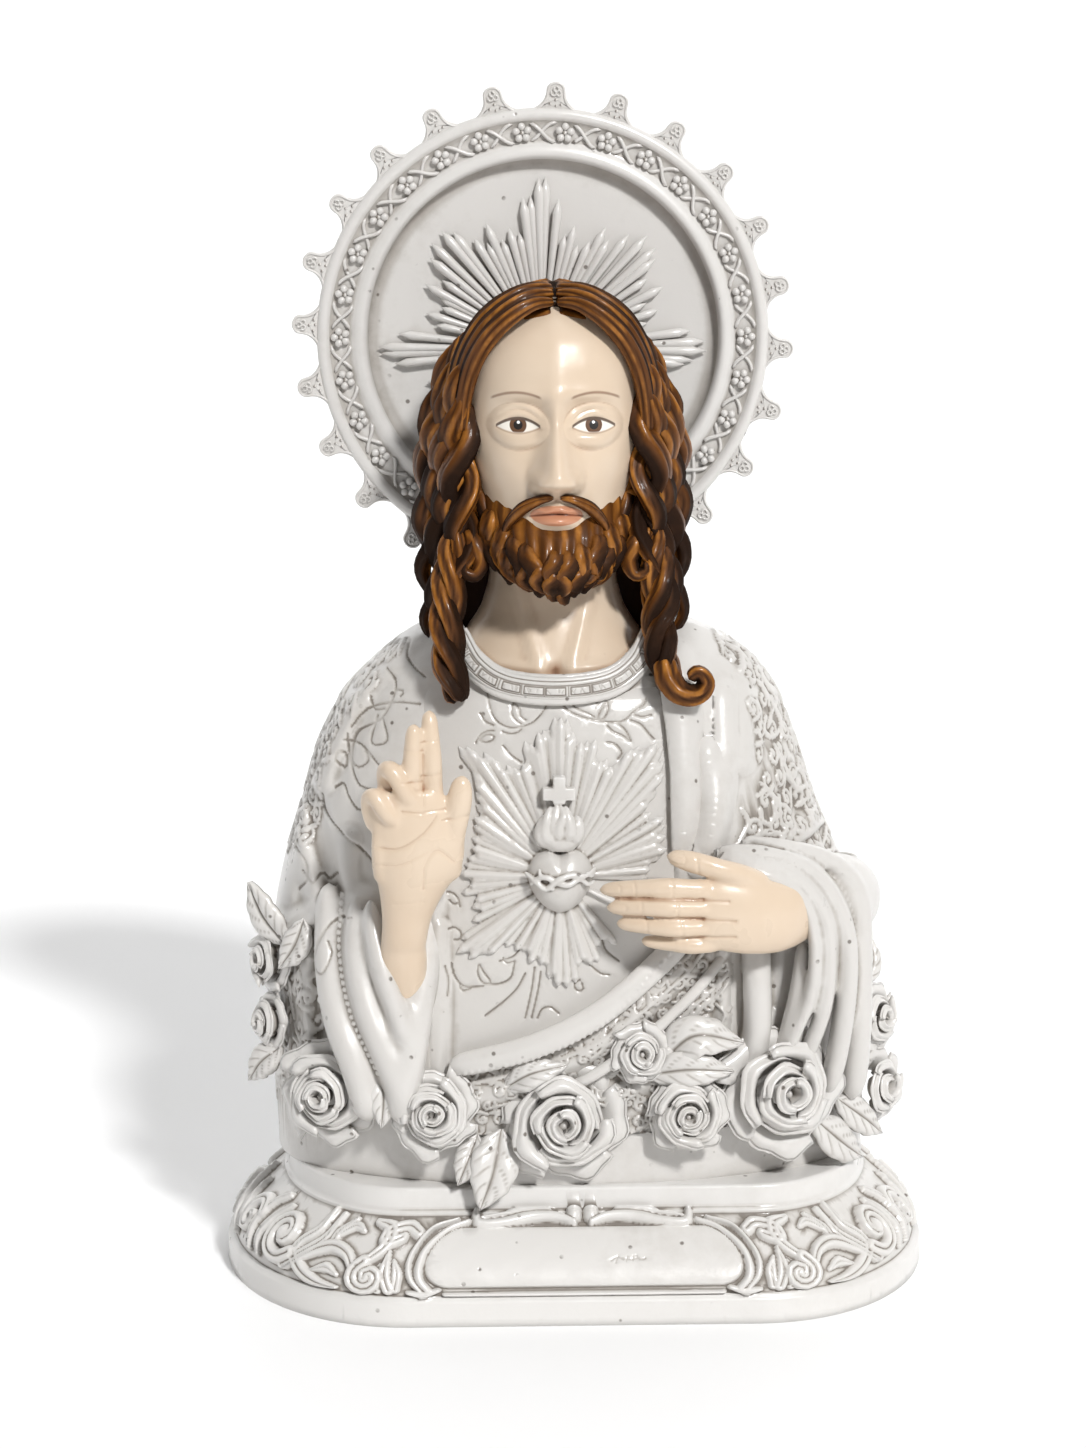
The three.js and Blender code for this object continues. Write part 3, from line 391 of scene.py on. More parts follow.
def marked(mesh, mark):
    """The mesh with its marks for the darkening in hollows, partly wash and partly painted shade, which thinning
    then carries along
    """
    mesh.attributes.new("hollow", "FLOAT", "POINT").data.foreach_set("value", mark.astype(np.float32))
    return mesh


def finished(name, mesh, finish, node, mark=None):
    """A piece of the casting, smooth shaded, painted, and riding on the fixed body"""
    if "hollow" not in mesh.attributes:
        marked(mesh, hollows(mesh) if mark is None else mark)
    mesh.shade_smooth()
    mesh.materials.clear()
    mesh.materials.append(finish.material)
    piece = bpy.data.objects.new(name, mesh)
    scene.collection.objects.link(piece)
    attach(piece, "root")
    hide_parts(node)
    return piece


def assembled(name, skins, finish, node, fade=lambda mark: mark):
    """A piece put together from closed skins, each with its own marks for the wash and painted shade"""
    points, faces, mark = together(skins)
    return finished(name, mesh_of(name, points, faces), finish, node, fade(mark))


def raised(at, strokes, ribbed=0.0):
    """Height at places (n, 2) of rounded strokes, each (route, half widths, lift)"""
    height = np.zeros(len(at))
    for route, widths, lift in strokes:
        route = np.array(route, float)
        length = np.linalg.norm(np.diff(route, axis=0), axis=1).sum()
        widths = np.atleast_1d(widths).astype(float)
        line = line_through(route, int(np.clip(length / max(0.8, 0.6 * widths.max()), 4, 60)))
        wide = np.interp(np.linspace(0, 1, len(line)), np.linspace(0, 1, len(widths)), widths)
        reach = widths.max()
        near = np.flatnonzero(((at > line.min(0) - reach) & (at < line.max(0) + reach)).all(1))
        if not len(near):
            continue
        p = at[near]
        best, least = np.zeros(len(p)), np.full(len(p), 9.0)
        for i in range(len(line) - 1):
            way = line[i + 1] - line[i]
            t = np.clip((p - line[i]) @ way / (way @ way + 1e-9), 0, 1)
            gap = np.hypot(*(p - line[i] - t[:, None] * way).T) / (wide[i] + (wide[i + 1] - wide[i]) * t + 1e-6)
            best, least = np.maximum(best, np.sqrt(np.clip(1 - gap * gap, 0, 1))), np.minimum(least, gap)
        best -= ribbed * np.exp(-(least / 0.24) ** 2) * min(1, reach - 0.5)
        if lift < 0:
            height[near] = np.minimum(height[near], lift * best)
        else:
            height[near] = np.maximum(height[near], lift * best)
    return height


def curl(x, z, radius, start, turns, grow=1.0, count=14):
    """A coil's route on the surface, from its outer end inwards"""
    t = np.linspace(0, 1, count)
    a = math.radians(start) + 2 * math.pi * turns * t
    r = radius * (1 - 0.86 * t ** grow)
    return np.stack([x + r * np.cos(a), z + r * np.sin(a)], 1)


def oval(inset, share):
    """Places on the plinth's outline, each a share of the way round from the front's middle"""
    half, across, deep = STRAIGHT / 2, PLINTH_WIDE / 2 - STRAIGHT / 2 - inset, PLINTH_DEEP / 2 - inset
    a = np.linspace(-np.pi / 2, np.pi / 2, 400)
    right = np.stack([half + across * np.cos(a), deep * np.sin(a)], 1)
    loop = np.vstack([[0, -deep], right, [0, deep], -right, [0, -deep]])
    length = np.r_[0, np.cumsum(np.linalg.norm(np.diff(loop, axis=0), axis=1))]
    return np.stack([np.interp(share % 1 * length[-1], length, loop[:, k]) for k in (0, 1)], 1)


OUTLINE_LONG = np.linalg.norm(np.diff(oval(RIM_STEP, np.linspace(0, 1, 4000)), axis=0), axis=1).sum()
SLOPE_LONG = math.hypot(FRIEZE_HIGH, FRIEZE_RUN)

# height and inset of the profile: foot, rim, frieze, band
profile = [(0, 40), (0, 12), (0, 0.9), (0, 0.35), (0, 0), (2.5, 0),
           (RIM_HIGH - 1.6, 0), (RIM_HIGH - 0.6, 0.25), (RIM_HIGH, RIM_STEP)]
for share in np.linspace(0.012, 1, 84):
    profile.append((RIM_HIGH + FRIEZE_HIGH * share, RIM_STEP + FRIEZE_RUN * (1 - math.cos(share * math.pi / 2))))
band_inset = RIM_STEP + FRIEZE_RUN + 0.6
profile += [(RIM_HIGH + FRIEZE_HIGH + 0.5, band_inset), (RIM_HIGH + FRIEZE_HIGH + 1.6, band_inset + 0.1),
            (PLINTH_TOP - 1.2, band_inset), (PLINTH_TOP - 0.3, band_inset + 0.4), (PLINTH_TOP, band_inset + 1.4),
            (PLINTH_TOP, band_inset + 14)]
# steps round the outline, closer together in front than at the back
ROUND = 960
spread = np.linspace(-1, 1, ROUND + 1)[:-1]
around = OUTLINE_LONG / 2 * (0.62 * spread + 0.38 * spread ** 3)
rings = np.array([np.column_stack([oval(inset, around / OUTLINE_LONG), np.full(ROUND, z)]) for z, inset in profile])

# frieze ornament, alike on both halves: a route in mm along the outline and up the slope, half widths, lift
scrolls = [
    (curl(66.5, 7.2, 5.6, 60, -1.25), (2.2, 2.0, 1.6), 3.0),
    ([(69, 12), (64.5, 18), (66, 23), (72, 24.5)], (1.3, 2.2, 0.8), 2.4),
    ([(71.5, 9), (76, 14), (83, 15.5), (90, 11.5), (97, 4.5)], (1.2, 2.0, 0.7), 2.4),
    ([(59, 3.2), (61.5, 9), (62.5, 16)], (1.6, 1.8, 0.5), 2.2),
    ([(57, 3.4), (57.6, 9), (60, 13.5)], (1.2, 1.5, 0.4), 1.9),
    ([(62.5, 2.6), (64, 6), (64, 12)], (1.0, 1.2, 0.4), 1.5),
    ([(55.5, 21.5), (60.5, 23.6), (66.5, 21.6), (64.5, 18.6), (60.5, 20.2)], (1.3, 1.9, 1.5), 2.3),
    (curl(104.5, 14.5, 8.6, 215, 1.3), (2.3, 2.3, 1.3), 3.2),
    ([(96, 10), (90, 5.2), (83.5, 2.8), (76, 2.2)], (2.2, 2.2, 0.5), 2.3),
    ([(86, 25), (87, 17), (94, 9.5), (99, 5)], (0.8, 1.9, 1.4), 2.3),
    ([(91, 26), (91.5, 19.5), (95.5, 14.6), (97, 9)], (0.8, 1.7, 1.2), 2.1),
    ([(80, 24.6), (83.5, 20), (83.6, 16), (88, 12.2)], (0.6, 1.5, 1.0), 1.8),
    ([(75, 21.6), (79, 22.6), (82.6, 19.4)], (0.5, 1.3, 0.8), 1.6),
    ([(77, 6.8), (81.5, 8.6), (86.5, 6.6)], (0.6, 1.7, 0.5), 1.5),
    ([(112.5, 22), (117, 17), (118.5, 10), (114, 4)], (0.9, 1.7, 0.6), 2.0),
    ([(119, 24), (124, 20), (126, 12), (121, 4)], (1.0, 1.9, 0.7), 2.2),
    (curl(131.5, 12.5, 7.4, 150, -1.2), (1.9, 1.9, 1.1), 2.7),
    ([(138, 7), (144, 14), (146, 22)], (1.1, 1.8, 0.6), 2.2),
    ([(139, 4), (148, 8), (156, 17), (159, 24)], (1.2, 2.0, 0.7), 2.3),
]
# scrolls that repeat from the side round to the middle of the back
BACK_FROM, BACK_SCROLLS = 170, 6
for k in range(BACK_SCROLLS):
    foot = BACK_FROM + (OUTLINE_LONG / 2 - 14 - BACK_FROM) * k / (BACK_SCROLLS - 1)
    scrolls += [
        (curl(foot, 12, 7.4, 200, 1.2), (2.0, 2.0, 1.1), 2.5),
        ([(foot - 7.2, 9), (foot - 10, 3.6), (foot - 2, 2.2), (foot + 8, 4.6), (foot + 14, 12)],
         (0.8, 1.9, 0.7), 2.2),
        ([(foot + 6, 20), (foot + 10.5, 22), (foot + 14, 18)], (0.7, 1.6, 0.7), 1.9),
    ]
scrolls = [(route, np.array(widths) * 1.28, lift) for route, widths, lift in scrolls]
up_slope = [(z - RIM_HIGH) / FRIEZE_HIGH * SLOPE_LONG for z, _ in profile]
at = np.column_stack([np.tile(np.abs(around), len(profile)), np.repeat(up_slope, ROUND)])
across, up = at[:, 0], at[:, 1]


def ball(at_across, at_up, area, lift):
    return np.clip(1 - ((across - at_across) ** 2 + (up - at_up) ** 2) / area, 0, 1) ** 0.5 * lift


ornament = np.maximum(raised(at, scrolls, 0.34), np.maximum(ball(104.6, 14.5, 11, 3.6), ball(66.4, 7, 5.5, 2.6)))
ornament = np.where((up > 0.4) & (up < SLOPE_LONG - 0.3), ornament, 0)

# cartouche: a smooth plate with round ends, mouldings that curl round its ends and above, a line below
PLATE_HALF, PLATE_MIDDLE, PLATE_RISE = 50, 13.4, 9.6
bow = np.hypot(np.maximum(across - (PLATE_HALF - PLATE_RISE), 0), up - PLATE_MIDDLE)
plate = np.clip((PLATE_RISE - bow) / 0.7, 0, 1)
border = raised(at, [
    ([(40, 24.2), (46, 22), (50.3, 17.5), (51.4, 12.5), (50.2, 7), (47, 3.2)], (1.0, 1.7, 1.3), 3.0),
    ([(44, 25.2), (52, 22.6), (55, 15), (53.4, 8), (49, 2.4)], (0.6, 1.1, 0.9), 2.3),
    ([(38.5, 26.4), (36, 23.6), (28, 23.8), (18, 25.6), (9, 25.4), (3, 23.6)], (1.5, 2.0, 1.2), 3.5),
    ([(36, 25.2), (24, 26.6), (12, 27)], (0.6, 1.0, 0.6), 3.0),
    ([(0, 1.5), (24, 1.5), (42, 1.5)], (0.9, 0.9, 0.7), 2.4),
    ([(44, 3.2), (48.5, 1.8), (53, 2.4)], (1.0, 1.8, 0.8), 2.7),
])
in_plate = (across < PLATE_HALF + 2) & (bow < PLATE_RISE + 1.4) & (up > 0.4) & (up < 25)
relief = np.where(in_plate, 2.2 * plate + 0.5 * (1 - plate), ornament)
relief = np.maximum(relief, border)
relief = np.maximum(relief, np.where(up < 30.5, ball(3.1, 26.4, 9, 3.6), 0))
relief[up < 0.2] = 0
# a few faint scratches on the plate, right of its middle
scratches = raised(np.column_stack([np.tile(around, len(profile)), up]), [
    ([(8.4, 12.2), (10.4, 13.3), (12.4, 12.5)], 0.34, -0.22), ([(9.8, 11.5), (10.9, 13.8)], 0.3, -0.2),
    ([(12, 12.9), (14.6, 12.5), (17.2, 13)], 0.3, -0.2), ([(13.2, 12.0), (13.8, 13.5)], 0.3, -0.2),
    ([(15.2, 12.2), (15.6, 13.6)], 0.3, -0.2), ([(16.6, 13.8), (17.6, 12.3), (19.4, 12.9)], 0.32, -0.22),
])
# slight unevenness of a hand-finished casting, inwards only
high = np.repeat([z for z, _ in profile], ROUND)
along = np.tile(around, len(profile))
uneven = 0.5 - 0.5 * np.sin(along / 2.9 + np.sin(high / 2.1)) * np.sin(high / 1.7 + np.sin(along / 4.3))
relief = (relief + scratches - 0.1 * uneven * (high > 1)).reshape(len(profile), ROUND)
out = np.cross(np.gradient(rings, axis=1), np.gradient(rings, axis=0))
out /= np.linalg.norm(out, axis=2)[..., None] + 1e-9
out[0] = out[1] = (0, 0, -1)
sunk = 1.1 * ((up > 0.6) & (up < SLOPE_LONG - 0.4)).reshape(relief.shape)
rings = rings + out * (relief - sunk)[..., None]
rings[..., 1] = np.clip(rings[..., 1], -PLINTH_DEEP / 2, PLINTH_DEEP / 2)

glaze = Finish("white_glaze")


def glazed(finish, dull=0.0):
    """White glaze, grey-brown in the hollows (partly a real wash, partly painted shade), whiter on raised points (a
    painted highlight), with a few pin-holes and grey clouds
    """
    hollow = finish.mark("hollow")
    cloud = finish.grain(38, 4, 0.6)
    fine = finish.grain(240, 3, 0.6)
    # grey-brown in the hollows, near black-brown in the deepest: partly a real wash, partly painted shade
    wash_and_shade = (hollow + (cloud - 0.5) * 0.4 + (fine - 0.5) * 0.25).over(0.08, 0.6)
    deep = (hollow + (fine - 0.5) * 0.2).over(0.5, 1.0)
    stain = (finish.grain(16, 3, 0.55) + (fine - 0.5) * 0.5).over(0.52, 0.78) * 0.35
    base = finish.blend(stain, colour(212, 209, 205), colour(182, 176, 168))
    if dull:
        base = finish.blend(dull, base, colour(160, 154, 146))
    hole = finish.node("ShaderNodeTexVoronoi", Vector=finish.place(), Scale=150.0)
    speck = (0.125 - Wire(hole.outputs["Distance"])).over(0, 0.05) * (finish.grain(60) - 0.02).over(0.47, 0.53)
    # the third layer makes raised points whiter than the glaze itself: a painted highlight
    base = finish.layers(base, (wash_and_shade * 0.72, 146, 138, 128), (deep * 0.88, 84, 73, 62),
                         ((-1 * hollow).over(0.25, 0.9) * 0.5, 226, 224, 221), (speck * 0.8, 84, 73, 62))
    finish.feed(Base_Color=base, Roughness=0.3 + wash_and_shade * 0.3 + (cloud - 0.5) * 0.15,
                Coat_Weight=0.35, Coat_Roughness=0.18, IOR=1.5)
    finish.bump(finish.grain(420, 3) * 0.4 + cloud * 0.6 - speck * 0.8, 0.25, 0.0006)


glazed(glaze)
plinth = shell("plinth", rings)
mark = 0.85 * hollows(plinth)
mark[:len(plate)] = mark[:len(plate)] * np.where(plate > 0.9, 0.15, 1) - 1.7 * scratches
plinth = thinned(marked(plinth, mark), 102000)
finished("plinth", plinth, glaze, "statue")


# Robe and mantle. The same casting: a half figure's cloth, heavier over the shoulders, with wide
# sleeves that hang in nested folds round both wrists, and raised embroidery on the borders.
# White glaze, grey-brown in the hollows like the plinth: partly wash, partly painted shade.
FIGURE_SHIFT = -7.5


def on_figure(points):
    """Figure places to the frame, in mm: x from the figure's middle, z from the plinth's top"""
    return np.asarray(points, float) + (FIGURE_SHIFT, 0, PLINTH_TOP)


body = np.array([
    (-1, 86, 96, 54, 52), (30, 87, 97.5, 55, 52), (58, 87.5, 98, 53, 50), (78, 86, 99, 52, 48),
    (92, 83, 90, 51, 46), (108, 78, 82.5, 50, 44), (128, 72.5, 76, 47, 40), (144, 64.5, 70, 43, 33),
    (155, 53.5, 62, 38, 26), (164, 42, 48, 29, 19), (170, 26, 28, 20, 11), (172, 14, 15, 12, 5)])
FULLNESS = 2.35


def off_figure(points):
    return points - (FIGURE_SHIFT, 0, PLINTH_TOP)


def eased(table, times):
    for _ in range(times):
        table[1:-1] = (table[:-2] + 2 * table[1:-1] + table[2:]) / 4
    return table


def rings_of(outline, rows, a, times, fullness=2):
    """x, y, z and sines of rings at the given heights and angles, from rows of an outline, each a height
    and half sizes left, right, front and back"""
    table = eased(np.stack([np.interp(rows, outline[:, 0], outline[:, k]) for k in range(1, 5)], 1), times)
    cos, sin = np.cos(a), np.sin(a)
    x = np.sign(cos) * np.abs(cos) ** (2 / fullness) * np.where(cos > 0, table[:, 1:2], table[:, 0:1])
    y = np.sign(sin) * np.abs(sin) ** (2 / fullness) * np.where(sin > 0, table[:, 3:4], table[:, 2:3])
    return x, y, np.repeat(rows[:, None], len(a), 1), sin


def robe_front(x, z):
    left, right, front = (np.interp(z, body[:, 0], body[:, k]) for k in (1, 2, 3))
    share = np.minimum(0.98, np.abs(x) / np.where(x > 0, right, left))
    return -front * (1 - share ** FULLNESS) ** (1 / FULLNESS)


def folded(x, z, folds):
    """How far soft folds, each (width, lift, route), stand out at x and z"""
    total = np.zeros(np.shape(x))
    p = np.stack([np.ravel(x), np.ravel(z)], 1)
    for wide, lift, route in folds:
        line = line_through(route, 14)
        nearest = np.full(len(p), 1e9)
        for a, b in zip(line, line[1:]):
            t = np.clip((p - a) @ (b - a) / ((b - a) @ (b - a) + 1e-9), 0, 1)
            nearest = np.minimum(nearest, np.hypot(*(p - a - t[:, None] * (b - a)).T))
        share = np.minimum(nearest / wide, 1)
        total += (lift * (1 - share * share) ** 2).reshape(np.shape(x))
    return total


broad_folds = [
    # mantle on the viewer's left: two ridges of its rolled border, the sag between them, folds at the elbow
    (6.5, 4.6, [(-38, 169), (-52.6, 161), (-65.1, 140), (-75.9, 114), (-81, 100), (-83, 84)]),
    (5.5, 3.6, [(-38, 168), (-49.6, 157), (-59.5, 145), (-66.6, 132.5), (-71, 119)]),
    (4, -2.0, [(-52, 157), (-62, 145), (-70, 126), (-76, 104)]),
    (5, -3.2, [(-71.6, 110), (-70.6, 98), (-67.7, 86)]),
    (5, 3.4, [(-79, 108), (-77, 96), (-73, 84)]),
    (4.5, 3.0, [(-62, 104), (-63, 94), (-60, 86)]),
    (5, 4.6, [(-86, 72), (-76.8, 77.6), (-67.7, 82.4), (-56.8, 86.5)]),
    (4, -2.6, [(-84, 66), (-76, 71), (-68, 76)]),
    (5, 3.6, [(-66.7, 79), (-64.5, 70), (-65.4, 56), (-64, 36)]),
    (4.5, 2.8, [(-76, 66), (-77, 50), (-75, 34)]),
    (5, -2, [(-71, 66), (-70.5, 50), (-70, 34)]),
    # plain cloth between the sleeve and the embroidered breast
    (5, 3.0, [(-37, 88), (-38.5, 64), (-38, 34)]),
    (3.2, 1.5, [(-34.4, 80), (-34, 56), (-34.5, 34)]),
    # mantle on the viewer's right: folds that fall from the shoulder
    (5.5, 3.4, [(36, 156), (37, 146), (38.3, 130), (39, 104)]),
    (4.5, 2.6, [(45, 130), (46.5, 114), (43, 98)]),
    (4, 2.2, [(50.6, 146), (50, 126), (46.5, 104)]),
    (3.5, -2.0, [(41.6, 134), (42, 116), (40, 104)]),
    (3.5, -2.4, [(48.7, 171), (51.6, 165), (50.8, 157)]),
    (6, 2.6, [(44, 170), (43, 162), (40, 154)]),
    (6, 2.4, [(57, 166), (57.5, 152), (55.5, 128)]),
    (5, 2.6, [(64.9, 98), (72.5, 103), (82, 107)]),
    (5.5, 3.4, [(82, 88), (90, 86), (97, 84)]),
    (4.5, -2.4, [(70, 116), (76, 110), (84, 100)]),
    (5, 2.6, [(72, 132), (76, 118), (80, 106)]),
    # cloth below the hand
    (4, 2, [(51.5, 72), (51, 56), (50, 40)]),
    (3, -2.6, [(65.8, 70), (66, 52)]),
    # mantle's edge drawn across the waist, and what hangs from it
    (6.5, 3.4, [(38, 66), (14, 46), (-6, 34), (-30, 26)]),
    (5, 2.2, [(44, 44), (26, 32), (6, 24)]),
]

rows = np.r_[np.linspace(-1, 168, 200), 169.3, 170.3, 171.2, 172]
x, y, z, sin = rings_of(body, rows, 2 * np.pi * np.arange(420) / 420, 16, FULLNESS)
y -= folded(x, z, broad_folds) * np.clip(-sin * 3, 0, 1)
# soft upright folds down the back, deeper towards the hem
back = np.clip(sin * 2, 0, 1) * np.clip((150 - z) / 90, 0.15, 1)
y += back * (1.9 * np.cos(x / 7.2 + 0.4) + 1.0 * np.cos(x / 3.9 + z / 60)) * 0.9 - back * 2.4
robe_skins = [skin(on_figure(np.stack([x, y, z], 2)))]


def tube(path, wide, deep, **ways):
    return strand(on_figure(path), wide, deep, **ways)


sleeve = dict(sides=20, steps=36, round_ends=0.1)
collar = [(-29, -32.4, 165.4), (-23.8, -38, 157.4), (-15, -42, 152.4), (0, -44.2, 150.9), (15, -42, 152.4),
          (23.8, -38, 157.4), (29, -32.4, 165.4)]
robe_skins += [
    # sleeve of the raised arm: its lip, two folds outside it, plain cloth inside, all drawn to a point
    tube([(-60, -30, 86), (-55, -44, 60), (-50, -50, 24)], (12, 13, 8), (12, 12, 9), **sleeve),
    tube([(-56.2, -51, 90), (-54.2, -56, 76), (-51.2, -59.4, 65), (-47.4, -61.4, 54), (-45, -62, 46)],
         (2.0, 3.4, 3.8, 3.4, 3.0), (3.0, 4.6, 4.8, 4.4, 4), **sleeve),
    tube([(-60.4, -46, 89), (-60.6, -51, 72), (-57.4, -55.5, 57), (-52.6, -59, 45), (-47.6, -61, 33),
          (-45, -60, 22)], (2.4, 3.8, 4.4, 4.6, 4.4), (4, 5.2, 5.6, 5.4, 5), **sleeve),
    tube([(-38.2, -47, 88), (-39.6, -52, 71), (-41.6, -56.4, 57), (-44, -59.6, 43), (-46.6, -60.6, 31),
          (-46, -58, 20)], (2.6, 4.2, 5.0, 5.4, 5), (3.4, 4.2, 4.4, 5, 5), **sleeve),
    tube([(-49, -44, 60), (-46.6, -52, 44), (-45, -54, 24)], (5, 7, 6), (6, 8, 7), **sleeve),
    tube([(-68.5, -34, 90), (-69, -43, 70), (-66, -50, 52), (-60, -55, 36), (-56, -56, 20)], (3.4, 4.6, 5.2, 5),
         (5, 6, 6.6, 6), **sleeve),
    # mantle's edge across the waist: a smooth band, then the embroidered one, then a thin fold
    tube([(41, -50.4, 79), (31, -55.4, 69.5), (12.7, -60.4, 55.2), (-8.3, -61.4, 45), (-34, -57.4, 37.6)], 4.0,
         (1.8, 2.1, 2.1, 1.8), **sleeve),
    tube([(52, -49, 71), (40, -53.6, 58), (24, -57.8, 44.6), (6, -59.4, 33), (-12, -57.4, 26)], 1.9, 1.5, **sleeve),
    # sleeve of the other arm: the arm inside, then thin nested folds of the cuff and broad ones outside
    tube([(84, 4, 84), (88, -16, 81), (84, -34, 83), (68, -46, 86)], (7, 13, 15, 13), (7, 12, 14, 9), sides=24,
         steps=36, round_ends=0.3),
    tube([(50, -57, 98), (57, -59, 97.6), (64.6, -59.4, 95.8), (71, -58.6, 91), (75.2, -57, 84), (77.2, -56, 72),
          (76, -54.6, 58), (71.8, -53, 46), (67, -51.4, 33)],
         (1.0, 1.7, 2.0, 2.2, 2.2), (2.4, 3.2, 3.4, 3.2, 3), **sleeve),
    tube([(48, -54.6, 99.6), (59, -56.4, 99.2), (68.8, -56.6, 97), (75.4, -55.8, 91.8), (80.6, -54.6, 82),
          (81.8, -53.4, 68), (80.6, -52, 54), (77, -50.6, 42), (73, -49, 30)],
         (1.0, 2.0, 2.5, 2.7, 2.6), (2.6, 3.6, 4.0, 4.0, 3.4), **sleeve),
    tube([(48, -51.6, 101.4), (62, -52.8, 101.6), (73.6, -52.6, 98.6), (81.6, -51.6, 91), (86.6, -50.4, 79),
          (88, -49.2, 66), (87, -48, 50), (85, -47, 36), (82, -46, 24)],
         (1.2, 2.4, 3.2, 3.4, 3.4), (3, 4.4, 5.0, 5.2, 4.6), **sleeve),
    tube([(56, -46.6, 103.4), (70, -46.4, 102.4), (82, -44.6, 98), (89.6, -42.4, 91), (92.2, -41.6, 82),
          (92.4, -41, 68), (92.6, -40, 50), (92, -38, 32), (91, -37, 20)],
         (1.6, 3.0, 4.0, 4.4, 4.2), (3, 4.6, 5.4, 5.8, 5), **sleeve),
    # folds that hang below the hand
    tube([(60.4, -48, 76), (60.5, -50.4, 62), (60.8, -50.6, 49), (60, -50, 40), (59, -49, 28)], (4.4, 4.6, 4.4, 4),
         (4.4, 5, 5, 4.4), **sleeve),
    tube([(75, -46, 74), (73.4, -48.4, 60), (70.6, -49.4, 47), (68, -49, 38), (65, -48, 28)], (2.4, 2.8, 3.0, 3),
         (4, 4.4, 4.6, 4), **sleeve),
    # collar: a flat band between two thin cords
    tube(collar, 3.6, 1.5, **sleeve),
    tube([(-27, -33, 166), (-22, -38, 160), (-14.4, -41.6, 155.6), (0, -43.6, 154.2), (14.4, -41.6, 155.6),
          (22, -38, 160), (27, -33, 166)],
         1.0, 1.5, **sleeve),
    tube([(-32, -32, 163.4), (-25, -39, 153.5), (-15.6, -42.9, 148.2), (0, -45, 146.6), (15.6, -42.9, 148.2),
          (25, -39, 153.5), (32, -32, 163.4)],
         1.0, 1.2, **sleeve),
]


def vines(low, high, inside, pitch, seed, wide, lift):
    """Close-set scrollwork in a patch of the cloth: a coil with a leaf or two at each place"""
    chance = np.random.default_rng(seed)
    strokes = []
    for row, zc in enumerate(np.arange(low[1], high[1], pitch * 0.9)):
        for xc in np.arange(low[0] + (row % 2) * pitch / 2, high[0], pitch):
            cx, cz = xc + chance.uniform(-0.2, 0.2) * pitch, zc + chance.uniform(-0.2, 0.2) * pitch
            start, way = chance.uniform(0, 360), chance.choice([-1, 1])
            bend = chance.uniform(0.9, 1.4)
            if not inside(cx, cz):
                continue
            strokes.append((curl(cx, cz, pitch * 0.42, start, way * bend, count=8), (wide, wide, wide * 1.3), lift))
            first, end = ((cx + pitch * far * math.cos(b), cz + pitch * far * math.sin(b))
                          for far, b in ((0.42, math.radians(start)), (0.75, math.radians(start + 90 * way))))
            middle = ((first[0] + end[0]) / 2 + wide, (first[1] + end[1]) / 2)
            strokes.append(([first, middle, end], (wide, wide * 1.7, wide * 0.4), lift))
    return strokes


def edge_at(route, z):
    route = np.array(sorted(route, key=lambda p: p[1]))
    return np.interp(z, route[:, 1], route[:, 0])


panel_inner = [(34.8, 84), (34.6, 102.7), (34.2, 125.8), (32.9, 139.1), (31.1, 147.5), (29, 160)]
panel_outer = [(48, 90), (49.6, 97.9), (53.7, 109.1), (57.5, 123.9), (59, 143.4), (60, 158.5), (57, 166)]
roll = [(-34, 37), (-8.3, 44.4), (12.7, 54.7), (32, 69.7), (41, 79)]
# tendrils engraved on the mantle, viewer's left
engraved = [
    [(-43.6, 161.4), (-44.6, 157.6), (-42.6, 154.8), (-39.2, 152.5)],
    [(-50.5, 153.5), (-48.1, 150.7), (-48.6, 146.4), (-52.5, 139.7), (-59.5, 135), (-61.5, 127.5), (-59.5, 125),
     (-56.5, 127.3), (-57.5, 130.8)],
    [(-61.5, 136.4), (-56.5, 141.9), (-48.6, 144.7), (-40.7, 144.9)],
    [(-64, 132.4), (-58.5, 131.6), (-53.6, 126.7), (-51.6, 125)],
    [(-62.5, 134.4), (-62, 127.4), (-59.5, 120.2), (-54.6, 118.9)],
    [(-55.5, 145.5), (-54.5, 142.2), (-51.5, 142.6)],
    [(-48.1, 148.2), (-45.6, 148), (-46.6, 146.6)],
    [(-53.5, 140.5), (-55.5, 132.9), (-52.5, 132.4), (-50.6, 134.4), (-52, 139.8)],
    [(-66.5, 126.4), (-63.5, 124.3), (-63, 128.1), (-65.5, 128.9), (-66.5, 126.4)],
    [(-66.5, 118), (-64, 119.5), (-62.5, 116), (-59.6, 112.6), (-56.6, 114)],
    [(-70.6, 115.1), (-69.6, 109.8), (-64.6, 105.2), (-58.6, 101.3), (-54.7, 96.9)],
    [(-76.8, 92.1), (-73.7, 89.2), (-70.7, 91.7), (-68.6, 90.2), (-66, 93)],
    [(-79, 98), (-76, 95), (-75.4, 90), (-78, 86)],
    [(-73.9, 66.6), (-71.8, 74), (-67.7, 79.7), (-61.7, 83)],
    [(-73.9, 66.6), (-70.9, 65.2), (-67.8, 70.8), (-68.8, 74.6)],
]
